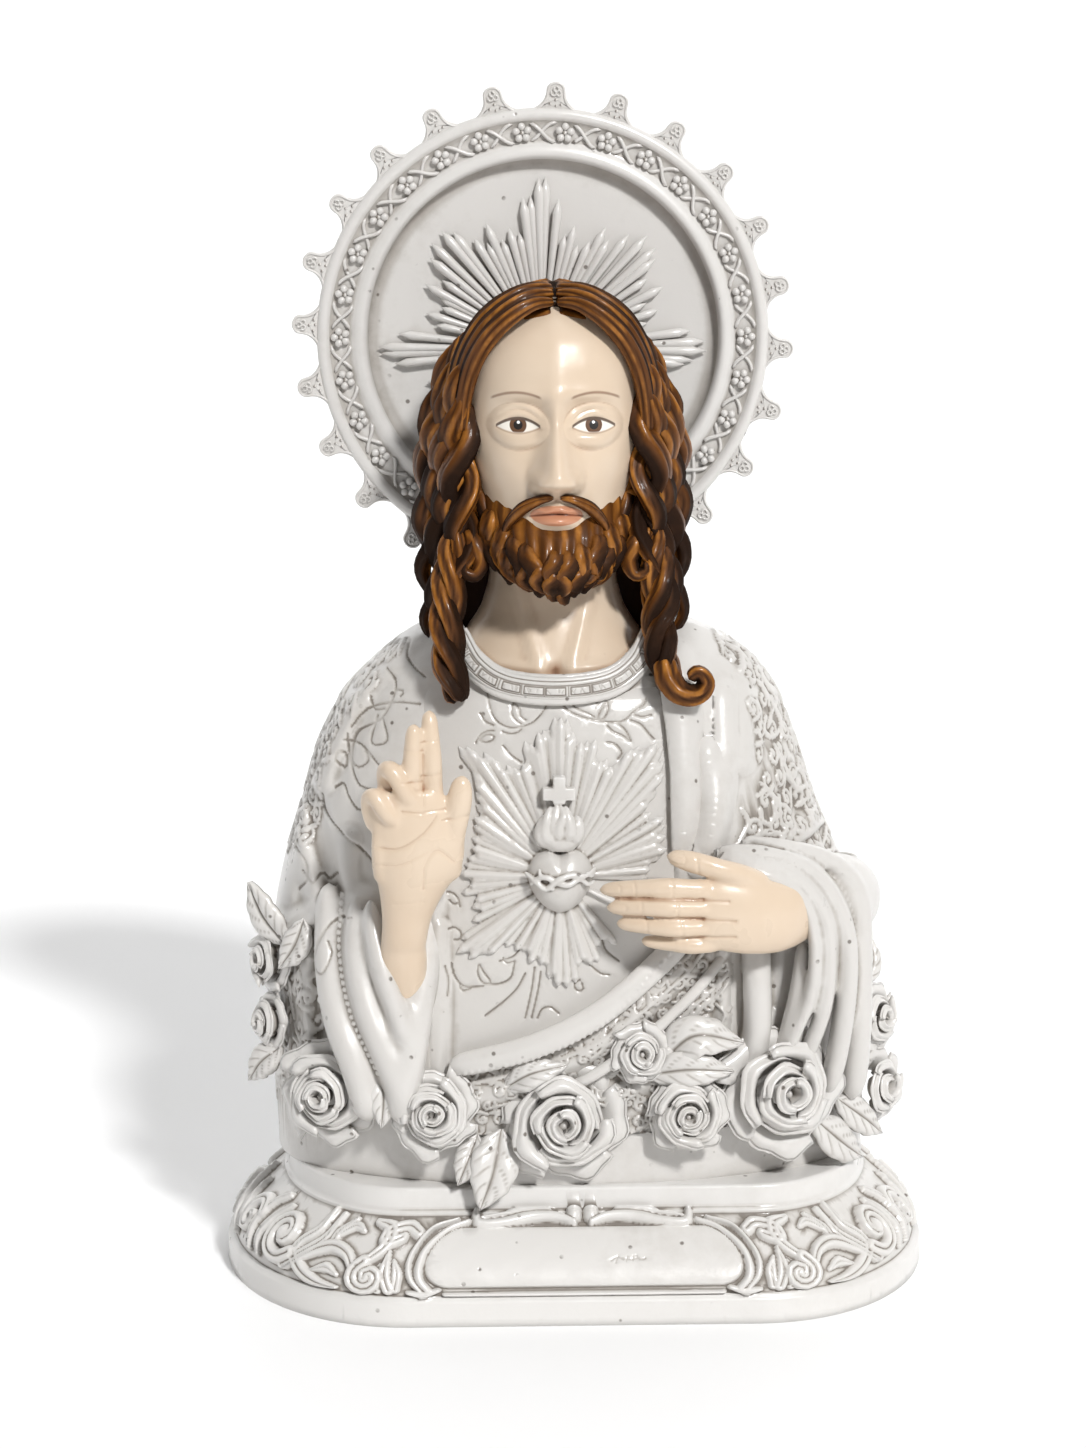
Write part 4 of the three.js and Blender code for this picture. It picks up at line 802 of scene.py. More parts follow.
# scrolls raised on the mantle, viewer's right
embroidery = [
    ([(60.9, 156.5), (61.5, 151.4), (64.4, 146.6), (67.6, 143.2), (64.8, 137.7)], 0.7, 0.65),
    ([(59.5, 143.3), (61, 139.3), (60.3, 134.8), (58.8, 135)], 0.7, 0.65),
    ([(63, 145.3), (66.2, 141), (69.3, 134.8), (65.7, 132), (62.5, 134.5), (63.2, 138)], 0.7, 0.65),
    ([(67.8, 129.7), (69.9, 123.7), (74.2, 116.1), (78.1, 116.3), (75.8, 120.9), (72, 120.4)], 0.75, 0.65),
    ([(60, 116), (63.1, 117.5), (66.3, 113.2), (65.1, 107.7), (61.9, 108.1), (60.9, 112.1)], 0.7, 0.65),
    ([(67.4, 114.9), (68.3, 107.2), (70.4, 105), (69.3, 103.3)], 0.7, 0.65),
    ([(54.7, 112.8), (56.8, 108.8), (54.7, 104.2), (52.6, 101.5)], 0.7, 0.65),
    ([(69.1, 96.7), (74.7, 101.3), (83.3, 103), (88.4, 100.9)], (0.8, 1.8, 0.6), 1.1),
    ([(82, 96), (86, 101), (85, 106), (80, 108), (79, 103)], 0.7, 0.7),
    ([(84, 95), (90, 94), (93, 98), (88, 100)], 0.7, 0.7),
]
left_edge = [(-88, 92), (-77, 122), (-68, 142), (-58, 157)]
netting = vines((55, 99), (112, 160), lambda x, z: x > edge_at(panel_outer, z) + 2.4, 8.0, 3, 0.72, 0.8)
netting += vines((-112, 100), (-52, 162), lambda x, z: x < edge_at(left_edge, z) - 1.6, 7.8, 5, 0.72, 0.7)
netting += vines((-112, 22), (-72, 70), lambda x, z: True, 8.6, 17, 0.74, 0.55)
# bead lines along the cuffs and under the waist band
for route, gap in [
    ([(60, 104.8), (73, 102), (83.4, 94), (90, 80), (91, 62), (90, 40)], 1.9),
    ([(-64.6, 87), (-65.4, 72), (-62, 54), (-54, 37)], 1.9),
    ([(36.5, 75.5), (14.4, 52.4), (-6.2, 42.2), (-32, 35.4)], 2.0),
]:
    length = np.linalg.norm(np.diff(np.array(route), axis=0), axis=1).sum()
    for spot in line_through(route, int(length / gap)):
        embroidery.append(([spot, spot + (0.01, 0.3)], 0.6, 0.4))

robe = fused(robe_skins, 0.64, 4)
points, pairs = points_of(robe), pairs_of(robe)
local = off_figure(points)
hanging = np.clip((-local[:, 1] - 36) / 6, 0, 1) * np.clip((112 - local[:, 2]) / 6, 0, 1)
hanging *= np.clip((np.maximum(-local[:, 0] - 30, local[:, 0] - 44)) / 8, 0, 1)
calm = np.where(local[:, 0:1] > 0, settled(points, pairs, 18, 0.7), settled(points, pairs, 40, 0.7))
moved(robe, points + hanging[:, None] * (calm - points))
points, out = points_of(robe), outwards_of(robe)
place = off_figure(points)
facing = np.clip((-out[:, 1] - 0.05) * 4, 0, 1)
x, z = place[:, 0], place[:, 2]
neck_line, cord_y = (np.interp(np.abs(x), [0, 14.4, 22, 27, 34], way)
                     for way in ([154, 155.4, 160, 166, 173], [-43.6, -41.6, -38, -33, -26]))
sunk = np.clip((z - neck_line) / 1.2, 0, 1) * np.clip((36 - np.abs(x)) / 4, 0, 1) * (place[:, 1] < 4)
sunk *= np.clip((place[:, 1] - cord_y - 1.2) / 1.0, 0, 1)
panel = np.clip((x - edge_at(panel_inner, z)) / 1.4, 0, 1) * np.clip((z - 88) / 8, 0, 1)
panel *= np.clip((74 - x) / 22, 0, 1)
# the net runs on round the sides, so its places are counted along the cloth
unrolled = x + np.sign(x) * 0.85 * np.maximum(place[:, 1] + 36, 0)
net_lift = raised(np.stack([unrolled, z], 1), netting) * np.clip((6 - place[:, 1]) / 14, 0, 1)
relief = raised(np.stack([x, z], 1), embroidery) * facing
cut = raised(np.stack([x, z], 1), [(route, 0.5, -0.38) for route in engraved]) * facing
clear = (place[:, 1] < robe_front(x, z) - 9) & (x > 40) & (z < 108)
lift = facing * panel * 3.4 + (np.maximum(relief, net_lift) + cut) * np.where(clear, 0.15, 1) - 6.5 * sunk
moved(robe, points + out * lift[:, None])
robe = thinned(marked(robe, np.maximum(0.85 * hollows(robe), -0.9 * cut)), 150000)
robe_glaze = Finish("robe_glaze")
glazed(robe_glaze, 0.13)
finished("robe", robe, robe_glaze, "statue")


# Face of the collar. The same casting, as a strip of finer mesh on the neck band: a row of closed panels
# with a bar between each two, a line below and two above. The robe's glaze, darker in the lines: partly wash,
# partly painted shade.
route = line_through(on_figure(collar), 330)
_, out, upward = ways_at(route, (0, -1, 0))
upward = -upward
length = np.r_[0, np.cumsum(np.linalg.norm(np.diff(route, axis=0), axis=1))]
s, u = np.meshgrid(length - length[-1] / 2, np.linspace(-3.4, 3.4, 36), indexing="ij")
PANEL = 6.7
chance = np.random.default_rng(12)
keys = [([(-40, level), (40, level)], 0.24, -0.38) for level in (-2.35, 1.05, 2.3)]
for k in range(-5, 6):
    middle, half = k * PANEL + chance.uniform(-0.3, 0.3), chance.uniform(2.4, 2.8)
    low, high = -1.8, 0.5
    corners = [(middle - half, low), (middle - half, high), (middle + half, high), (middle + half, low)]
    keys += [([a, b], 0.25, -0.4) for a, b in zip(corners, corners[1:] + corners[:1])]
    bar = k * PANEL + PANEL / 2
    keys.append(([(bar, -2.1), (bar, 0.8)], 0.25, -0.3))
    for _ in range(4):
        foot = middle + chance.uniform(-0.8, 0.8) * half
        start = (foot, chance.uniform(-1.5, -0.8))
        end = (foot + chance.uniform(-0.9, 0.9), chance.uniform(-0.4, 0.2))
        keys.append(([start, end], 0.2, -0.18))
cut = raised(np.column_stack([s.ravel(), u.ravel()]), keys).reshape(s.shape)
lift = 1.5 * np.sqrt(1 - (u / 3.62) ** 2) + 1.0 + cut
face = route[:, None] + upward[:, None] * u[..., None] + out[:, None] * lift[..., None]
behind = route[:, None] + upward[:, None] * u[:, ::-6, None] - out[:, None] * 0.4
band = shell("collar", np.concatenate([face, behind], 1))
mark = 0.6 * hollows(band)
mark[:-2] = np.maximum(mark[:-2], np.concatenate([cut / -0.45, np.zeros(behind.shape[:2])], 1).ravel())
finished("collar", thinned(marked(band, mark), 15000), robe_glaze, "statue")


# Robe on the breast. The same casting: thin cloth engraved with tendrils, and a band of raised net under
# the mantle's edge. White glaze, darker in every line: partly wash, partly painted shade.
tendrils = [
    [(-20.5, 149.3), (-19.6, 144.6), (-17.7, 141.0), (-13.1, 139.1), (-7.4, 140.5), (-4.2, 143.5), (-2.0, 147.1)],
    [(-12.7, 146.5), (-13.3, 144.1), (-12.4, 141.7), (-10.2, 140.1)],
    [(-12.7, 146.5), (-11.1, 144.7), (-10.5, 142.3), (-9.0, 141.4)],
    [(1.2, 147.0), (3.3, 144.4), (7.1, 142.5), (11.8, 141.2), (17.2, 140.5), (20.4, 141.0), (22.9, 143.1),
     (26.1, 145.1), (27.1, 146.8)],
    [(4.0, 147.0), (5.9, 144.9), (9.0, 143.4), (11.5, 142.1)],
    [(15.0, 146.0), (13.4, 144.0), (12.4, 141.5), (14.0, 141.5), (15.3, 143.3), (15.7, 145.1), (15.0, 146.0)],
    [(18.4, 140.2), (20.6, 138.3), (22.2, 135.2)],
    [(22.3, 141.0), (25.4, 139.7), (27.3, 137.5), (29.2, 135.3)],
    [(15.3, 139.6), (17.1, 137.8), (20.0, 136.5), (22.2, 134.9)],
    [(-24.1, 134.5), (-22.5, 137.0), (-20.0, 138.2), (-18.7, 138.2)],
    [(-23.1, 135.4), (-21.2, 134.8), (-19.0, 135.5), (-18.7, 136.7), (-20.9, 137.0), (-23.1, 135.4)],
    [(-16.2, 138.0), (-13.7, 137.4), (-11.8, 137.7), (-10.5, 138.6)],
    [(-15.9, 134.0), (-13.7, 131.3), (-10.6, 129.2)], [(-22.7, 143.3), (-21.2, 140.9), (-18.7, 139.8)],
    [(-32.8, 90.2), (-30.9, 89.7), (-29.4, 87.8), (-29.1, 85.9)],
    [(-32.2, 87.7), (-30.9, 86.5), (-29.4, 86.9)],
    [(-32.5, 79.1), (-30.7, 79.5), (-28.8, 78.0), (-29.1, 76.0), (-30.7, 75.7)],
    [(-23.5, 68.2), (-23.8, 65.6), (-22.2, 62.7), (-20.0, 63.1), (-22.2, 66.3), (-23.2, 68.2)],
    [(-22.2, 62.7), (-17.8, 62.5), (-14.0, 64.4), (-12.8, 68.9)],
    [(-16.2, 70.5), (-15.3, 68.9), (-12.7, 69.5)], [(-21.6, 52.8), (-15.9, 57.3), (-12.1, 61.2), (-9.6, 65.7)],
    [(-29.2, 62.2), (-28.5, 60.3), (-26.0, 61.0)],
    [(-31.7, 68.6), (-30.7, 64.8), (-27.9, 61.6), (-22.2, 61.8)], [(13.5, 75.7), (14.7, 72.5), (18.5, 69.2)],
    [(10.0, 68.1), (13.1, 65.5), (15.7, 65.1)], [(-6.8, 67.6), (-7.4, 62.5), (-8.4, 57.3), (-9.6, 52.2)],
    [(-4.9, 66.3), (-5.8, 60.5), (-7.7, 52.2)], [(-5.9, 52.2), (-4.6, 54.8), (-2.0, 55.4), (0.5, 53.4)],
    [(6.8, 63.6), (5.2, 62.4), (5.9, 60.4), (7.8, 60.7), (7.4, 62.7)],
    [(-33.6, 67.9), (-32.6, 63.4), (-33.0, 58.9)], [(12.2, 146.3), (14.1, 147.5), (15.4, 146.3)],
    [(-17.2, 69.5), (-13.4, 70.8), (-11.5, 72.8)],
    [(18.3, 129.8), (19.6, 131.6), (17.7, 134.1), (15.2, 134.8)],
    [(23.5, 142.5), (26.1, 141.8), (28.6, 142.3)],
]
net = [
    [(10.5, 56.4), (11.1, 53.8), (13.0, 52.5), (14.6, 53.7), (13.6, 55.7), (12.4, 54.4)],
    [(10.4, 44.8), (11.7, 46.7), (13.6, 47.3), (14.9, 45.4), (13.9, 43.8), (12.7, 44.8)],
    [(11.1, 50.6), (13.6, 51.2), (14.3, 48.6), (12.4, 48.0)], [(15.8, 56.3), (17.4, 55.6), (18.7, 56.8)],
    [(19.3, 55.5), (20.6, 53.6), (23.2, 53.8), (22.8, 56.1)],
    [(23.2, 51.6), (19.3, 51.4), (16.8, 49.2), (15.2, 46.0)], [(19.3, 50.4), (20.6, 48.5), (20.0, 46.9)],
    [(24.4, 52.8), (21.3, 50.4), (16.2, 45.4), (9.8, 40.0)],
    [(26.3, 51.8), (21.9, 47.8), (16.2, 42.8), (13.6, 40.9)],
    [(39.2, 55.4), (40.5, 52.8), (43.0, 50.7), (45.6, 51.2)], [(41.7, 55.3), (43.0, 53.9), (41.7, 52.7)],
    [(48.2, 54.9), (50.8, 52.1), (49.5, 49.0), (50.8, 47.6)],
    [(-30.3, 50.1), (-29.3, 48.4), (-27.0, 48.5), (-23.9, 50.9), (-19.9, 54.0), (-16.6, 57.8)],
    [(-18.2, 56.1), (-19.9, 53.7), (-20.3, 50.3), (-18.6, 47.6), (-17.6, 48.3), (-18.6, 51.0), (-18.2, 53.7)],
    [(-19.3, 53.7), (-18.3, 51.7), (-18.3, 49.6)], [(-13.6, 54.8), (-11.9, 53.8), (-13.2, 52.4)],
    [(-11.2, 51.0), (-13.2, 50.4)], [(-26.0, 48.5), (-26.3, 44.7), (-26.0, 40.7)],
    [(-25.6, 48.2), (-23.3, 44.1), (-21.3, 40.8)], [(-9.2, 57.8), (-9.2, 53.8), (-7.9, 49.7), (-6.5, 47.0)],
    [(-4.9, 51.7), (-4.9, 49.7), (-3.2, 49.0)], [(-4.5, 53.7), (-1.8, 54.7), (0.8, 53.0), (0.5, 50.3)],
    [(-2.5, 52.4), (-1.2, 51.0), (-2.5, 50.3)],
    [(7.6, 51.6), (8.9, 53.6), (11.6, 54.2), (14.3, 53.5), (16.3, 54.1), (15.6, 56.2)],
    [(4.9, 47.5), (7.6, 49.5), (10.2, 48.8), (10.2, 46.8), (8.2, 45.5)],
    [(1.5, 44.9), (0.8, 42.1), (-1.9, 40.1), (-2.5, 42.9), (0.2, 45.5)],
    [(3.5, 44.2), (6.2, 44.8), (7.5, 42.7), (4.9, 42.1)], [(11.6, 50.8), (12.9, 48.8), (10.9, 46.8)],
    [(14.3, 50.1), (17.0, 51.4), (17.6, 48.7), (15.0, 46.7)], [(8.9, 41.4), (12.3, 44.0), (16.3, 47.3)],
]
FINE = 0.42
x, z = np.meshgrid(np.arange(-41, 55, FINE), np.arange(16, 153.5, FINE))
at = np.column_stack([x.ravel(), z.ravel()])
under_roll = (x > edge_at(roll, z)) | (z < 37)
lines = raised(at, [(route, 0.46, -0.4) for route in tendrils]).reshape(x.shape) * ~under_roll
curls = vines((-26, 16), (54, 76), lambda x, z: x > edge_at(roll, z) + 5, 5.2, 7, 0.5, 0.7)
curls += [(route, 0.55, 0.7) for route in net]
curls += [([(p[0] + gap, p[1] - gap) for p in roll], 0.6, 0.8) for gap in (5.5, 12.5, 14)]
curls = raised(at, curls).reshape(x.shape) * under_roll
height = lines + curls
front = robe_front(x, z) - folded(x, z, broad_folds) - 0.9 - height
front = np.where(z > 147, front + 0.3 * (z - 147), front)
# the patch dips into the robe along its sides, so no step shows
front += 2.6 * np.clip(1 - (x + 41) / 4.5, 0, 1) ** 2 + 2.6 * np.clip(1 - (54.6 - x) / 4.5, 0, 1) ** 2
front += 0.06 * np.sin(x / 2.9 + np.sin(z / 5.1)) * np.sin(z / 3.3 + np.sin(x / 4.3))
behind = front[:, ::-8] + 3
rings = np.concatenate([np.stack([x, front, z], 2), np.stack([x[:, ::-8], behind, z[:, ::-8]], 2)], 1)
breast = shell("breast", on_figure(rings))
mark = hollows(breast)
line_mark = np.concatenate([lines / -0.4, np.zeros_like(behind)], 1).ravel()
mark[:len(line_mark)] = np.maximum(0.85 * mark[:len(line_mark)], 0.36 * line_mark)
breast = thinned(marked(breast, mark), 76000)
breast_glaze = Finish("breast_glaze")
glazed(breast_glaze, 0.26)
finished("breast", breast, breast_glaze, "statue")


# Sunburst. The same casting, raised on the breast: a burst of half-round rays and on it a heart with a
# thorn band, a flame and a cross. The breast's glaze, darker between the rays: partly wash, partly painted shade.
# ray tips, one after the other round the heart
rays = [
    (-2.6, 139.2), (-0.5, 142.9), (1.3, 143.0), (3.3, 142.2), (5.0, 138.6), (7.5, 135.5), (9.5, 135.8),
    (11.8, 136.3), (13.4, 129.9), (15.3, 130.4), (19.3, 129.8), (22.8, 133.2), (25.0, 133.8), (26.9, 133.3),
    (30.5, 134.9), (32.4, 133.5), (32.6, 129.3), (32.6, 125.9), (30.4, 120.7), (28.1, 117.7), (32.5, 112.5),
    (32.9, 110.0), (33.2, 106.9), (33.5, 103.1), (31.6, 100.6), (29.0, 99.5), (28.4, 97.0), (27.7, 94.5),
    (17.9, 74.1), (15.0, 75.7), (12.5, 68.7), (10.3, 68.1), (8.4, 69.4), (5.6, 62.4), (3.0, 61.1), (0.2, 61.5),
    (-2.4, 63.7), (-4.9, 68.2), (-8.3, 68.9), (-10.4, 72.1), (-12.6, 72.7), (-20.9, 71.7), (-23.5, 71.2),
    (-26.9, 70.0), (-30.4, 71.8), (-29.1, 75.7), (-25.9, 85.7), (-24.0, 85.4), (-29.0, 90.0), (-26.8, 92.3),
    (-29.3, 96.1), (-28.0, 98.6), (-27.1, 100.9), (-25.8, 104.1), (-25.8, 106.9), (-25.2, 110.7), (-25.1, 113.2),
    (-24.4, 116.9), (-24.6, 120.6), (-24.8, 124.0), (-29.5, 133.9), (-27.2, 134.0), (-24.3, 131.7), (-21.9, 132.3),
    (-19.9, 131.1), (-17.5, 128.2), (-15.0, 128.8), (-12.8, 128.1), (-10.3, 129.2), (-9.6, 135.9), (-7.8, 135.0),
    (-5.5, 138.6), (-3.9, 139.1),
]
HEART_AT, HEART_Y, HEART_DEEP = (1.0, 95.5), -53.6, 7.0
burst = []


def on_breast(x, z, lift):
    x, z = np.asarray(x, float), np.asarray(z, float)
    return np.stack([x, robe_front(x, z) - folded(x, z, broad_folds) - lift, z], -1)


between = [((a[0] + b[0]) / 2 * 0.94 + 0.06 * HEART_AT[0], (a[1] + b[1]) / 2 * 0.94 + 0.06 * HEART_AT[1])
           for a, b in zip(rays, rays[1:] + rays[:1]) if math.dist(a, b) > 3.1]
for k, (tip_x, tip_z) in enumerate(rays + between):
    way = np.array([tip_x - HEART_AT[0], tip_z - HEART_AT[1]])
    long = np.hypot(*way)
    t = np.linspace(min(0.8, 7 / long), 1, 7)
    path = on_breast(HEART_AT[0] + way[0] * t, HEART_AT[1] + way[1] * t, 1.2 + 0.45 * (k % 3))
    wide = np.interp(t * long, [6, 20, 50], [0.6, 1.15, 1.65])
    burst.append(tube(path, wide, 1.3, sides=9, steps=12, round_ends=0.05))
turn = np.linspace(0, 2 * np.pi, 72, endpoint=False)
cleft = 2.3 * np.exp(-(np.sin(turn) * 11.2 / 2.6) ** 2) * (np.cos(turn) > 0)
outline = np.column_stack([11.1 * np.sin(turn) * (0.85 + 0.15 * np.cos(turn)), 10.0 * np.cos(turn) - cleft + 0.6])
heart = []
for s in np.r_[-0.35, np.linspace(0, 1, 15)]:
    scale = math.sqrt(max(1 - s * s, 0.0004)) if s > 0 else 1.0
    heart.append(np.column_stack([0.85 + outline[:, 0] * scale, np.full(len(turn), HEART_Y - HEART_DEEP * s),
                                  95.2 + (outline[:, 1] - 1) * scale]))
burst.append(skin(on_figure(np.array(heart))))
flames = [
    [(1.1, 105.4), (-3.4, 108.7), (-3.2, 113.6), (-1.9, 117.6)],
    [(-0.2, 105.4), (-1.6, 110.0), (-0.8, 114.2), (0.1, 118.6)],
    [(1.1, 105.4), (0.4, 110.8), (1.8, 114.2), (0.9, 117.6)],
    [(2.3, 105.8), (3.7, 109.9), (3.1, 114.2), (2.3, 117.6)],
    [(2.9, 105.8), (5.9, 108.9), (6.2, 112.9), (5.1, 114.3)],
    [(-0.9, 105.2), (-4.7, 108.1), (-4.9, 111.8), (-3.8, 114.9)],
]
for k, route in enumerate(flames):
    path = [(x, -54.6 - 1.6 * math.sin(math.pi * i / 3) - 0.5 * (k in (0, 2, 3)), z)
            for i, (x, z) in enumerate(route)]
    burst.append(tube(path, (1.7, 2.6, 1.7, 0.5), (1.8, 2.4, 1.8, 0.7), sides=12, steps=18, round_ends=0.1))
burst.append(tube([(-4.6, -54.6, 107.6), (1, -55.6, 106.4), (6.4, -54.6, 107.4)], 3.0, 2.6,
                  sides=14, steps=16, round_ends=0.3))
thorns = [
    [(-10.0, 97.7), (-6.3, 95.1), (-3.5, 93.2), (-0.1, 96.1), (4.0, 97.4), (8.4, 97.1), (11.6, 99.0)],
    [(-8.5, 93.9), (-6.0, 96.3), (-3.2, 96.8), (-0.4, 95.3), (3.1, 94.6), (6.5, 96.1), (9.0, 94.3), (11.2, 95.2)],
    [(-5.7, 99.6), (-5.1, 97.2), (-2.7, 97.0)], [(-1.0, 93.2), (-3.5, 93.4), (-3.8, 92.4)],
    [(8.4, 98.5), (9.8, 96.7), (11.5, 97.8)],
]
for k, route in enumerate(thorns):
    path = []
    for i, (x, z) in enumerate(route):
        dome = math.sqrt(max(0.05, 1 - ((x - 0.85) / 11.4) ** 2 - ((z - 96) / 12) ** 2))
        path.append((x, HEART_Y - HEART_DEEP * dome - 0.3 - (0.5 if (i + k) % 2 else 0), z))
    thin, steps = (0.95, 30) if k < 2 else (0.6, 8)
    burst.append(tube(path, (thin * 0.7, thin, thin, thin * 0.5), (thin, thin, thin * 0.6),
                      sides=8, steps=steps, round_ends=0.06))


def plate_of(outline, front, back, ease):
    """A flat plate with eased edges from an outline in x and z"""
    outline = np.array(outline, float)
    middle = outline.mean(0)
    rows = []
    for depth, shrink in ((back, 0), (front + ease, 0), (front + ease * 0.3, ease * 0.4), (front, ease)):
        way = outline - middle
        way = outline - shrink * way / np.maximum(np.hypot(*way.T), 1e-6)[:, None]
        rows.append(np.column_stack([way[:, 0], np.full(len(way), depth), way[:, 1]]))
    return skin(on_figure(np.array(rows)))


for block in ([(-1.35, 118), (2.3, 118), (2.4, 126.3), (-1.35, 126.3)],
              [(-4.5, 119.1), (5.3, 119.05), (5.35, 122.75), (-4.45, 122.8)]):
    sides = np.vstack([np.linspace(block[i], block[(i + 1) % 4], 6)[:-1] for i in range(4)])
    burst.append(plate_of(sides, -56.2, -52, 0.45))
sunburst = fused(burst, 0.34, 2)
sunburst = thinned(marked(sunburst, hollows(sunburst, 8, 40, 0.16, 1.0)), 72000)
finished("sunburst", sunburst, breast_glaze, "statue")


# Hands and forearm. The same casting, smooth, with creases at the joints and cut nails; cream gloss paint,
# brown in the creases: partly a thin wash, partly painted shade.
def limb(path, wide, deep, steps=22, ends=0.14):
    return tube(path, wide, deep, sides=20, steps=steps, round_ends=ends)


def palm_of(rows, along_x=False):
    rings = []
    a = np.linspace(0, 2 * np.pi, 30, endpoint=False)
    for row in line_through(rows, 22):
        if along_x:
            x, z, high, deep, y = row
            rings.append(np.column_stack([np.full(30, x), y + deep * np.sin(a), z + high * np.cos(a)]))
        else:
            z, x, wide, deep, y = row
            rings.append(np.column_stack([x + wide * np.cos(a), y + deep * np.sin(a), np.full(30, z)]))
    return skin(on_figure(np.array(rings)))


raised_hand = [
    palm_of([(72, -46.2, 5, 4, -58), (78, -45.8, 7.3, 6, -60.4), (85, -45, 7.7, 6.1, -62),
             (93, -43.5, 9.5, 6.5, -64), (102, -41.5, 13, 6.5, -66), (112, -41.5, 13.6, 5.6, -67),
             (120, -44, 12.4, 4.6, -68), (125, -45, 10.4, 3.8, -68)]),
    limb([(-48, -44, 46), (-47, -53, 62), (-46, -59.5, 78), (-45, -61.6, 88)], (8.5, 8, 7.5, 5.5),
         (7.5, 7, 6.2, 4.4), ends=0.08),
    limb([(-36.6, -66, 118), (-37.2, -68, 134), (-38.2, -66, 149)], (3.2, 2.9, 3.0, 2.7, 2.5),
         (3.2, 2.8, 3.0, 2.6, 2.3)),
    limb([(-42.6, -67, 118), (-43.2, -69.5, 132), (-42.4, -69.5, 145.5)], (3.1, 2.8, 3.0, 2.6, 2.4),
         (3.2, 2.8, 3.0, 2.6, 2.3)),
    limb([(-48.6, -65, 118), (-50.4, -67, 129), (-49.4, -70, 131.6), (-46.8, -71.4, 128), (-43.4, -71.2, 121)],
         (3.1, 3.3, 3.3, 2.9, 2.4), 2.8, steps=30),
    limb([(-53.6, -65, 112), (-55.4, -67, 121), (-54, -70, 123.6), (-51.4, -71.4, 120), (-47.4, -71, 115)],
         (2.8, 3.1, 3.1, 2.7, 2.2), 2.6, steps=30),
    limb([(-34, -64, 97), (-32.6, -66.4, 106), (-30.2, -68, 116), (-28.2, -69, 130)], (5.6, 4.6, 3.6, 3.9, 3.0),
         (5, 4.2, 3.4, 3.2, 2.4)),
    limb([(-36, -66, 98), (-37, -69, 106), (-38, -69, 112)], (5.4, 5.2, 3.6), (4, 3.4, 2.4)),
    limb([(-51, -65, 97), (-52, -67.5, 106), (-52, -67.5, 114)], (3.6, 3.4, 3), (4, 3.2, 2.4)),
]
pointing_hand = [
    palm_of([(76, 84.6, 9, 6.6, -51), (71.5, 84.5, 10, 6.6, -56.5), (65, 84.6, 11, 6.2, -61.6),
             (56, 86, 11.8, 5.4, -65.5),
             (48, 87, 11.4, 4.6, -67), (43, 87, 10, 3.8, -67.5)], True),
    limb([(46, -67.5, 94.2), (29, -69.2, 95.4), (11.6, -63.5, 93.6)], (3.5, 3.0, 3.2, 2.7, 2.6, 2.1),
         (3.6, 3.1, 3.2, 2.7, 2.5, 1.9)),
    limb([(46, -68, 88.8), (30, -70.4, 89.6), (13.6, -65, 88.6)], (3.3, 2.9, 3.1, 2.6, 2.5, 2.0),
         (3.6, 3.1, 3.2, 2.7, 2.5, 1.9)),
    limb([(46, -67.5, 83), (32, -69.8, 83.4), (16.6, -65, 84)], (3.2, 2.8, 3.0, 2.5, 2.4, 2.0),
         (3.4, 3.0, 3.1, 2.6, 2.4, 1.9)),
    limb([(48, -66, 77.8), (39, -68, 77.6), (24, -65, 78.6)], (3.0, 2.5, 2.7, 2.3, 2.2, 1.8),
         (3.2, 2.7, 2.8, 2.4, 2.2, 1.7)),
    limb([(62, -62, 93), (54, -66, 98), (46, -68, 101), (31.4, -66, 104.6)], (4.4, 3.8, 3.2, 3.4, 2.5),
         (4.2, 3.6, 3.2, 3.0, 2.2)),
]
# palm lines, finger joints, gaps between fingers and nails, by half width and depth
creases = [(route, wide, lift) for wide, lift, routes in [
    (0.5, -0.5, [
        [(-30.8, 104), (-36, 108), (-39.6, 103), (-40, 96)], [(-40, 119.4), (-33.6, 120)],
        [(-46, 119.6), (-40, 119)]]),
    (0.45, -0.45, [
        [(-54, 108.6), (-47, 108.6), (-40, 113), (-36, 118)], [(-40.4, 129.6), (-34, 130)],
        [(-46.4, 128.4), (-40, 128)]]),
    (0.4, -0.35, [
        [(-54.4, 103), (-47, 103.6), (-38, 108)], [(-40.6, 139.8), (-35, 140.2)],
        [(-45.6, 137.6), (-40, 137.4)], [(33.6, 92.2), (33, 98.4)], [(35, 86.4), (34.6, 92)],
        [(36.6, 80.6), (36, 86)], [(41, 99.4), (40.4, 104.6)]]),
    (0.5, -0.45, [
        [(-34.4, 116.8), (-26.6, 117.6)]]),
    (0.4, -0.2, [
        [(-49, 91), (-40, 91.8)]]),
    (0.45, -0.3, [
        [(-39.8, 121), (-39.8, 136)]]),
    (0.35, -0.3, [
        [(22.6, 91.8), (22, 97.6)], [(24.4, 86.4), (24, 91.4)], [(26, 81.4), (25.6, 86)]]),
    (0.6, -0.7, [
        [(10, 91.4), (30, 92.4), (50, 91.6)], [(12, 86.4), (32, 86.8), (52, 85.6)],
        [(16, 81.4), (34, 80.6), (52, 80.6)]]),
    (0.32, -0.35, [
        [(13.2, 92.6), (17.4, 93.4), (17.6, 96), (12.6, 95.6)],
        [(32.4, 103), (36.4, 102.2), (36.8, 105), (32.8, 105.8)]]),
    (0.3, -0.3, [
        [(15, 87.4), (19, 88), (19.2, 90.4), (14.6, 90)]]),
] for route in routes]
skin_paint = Finish("cream_skin")


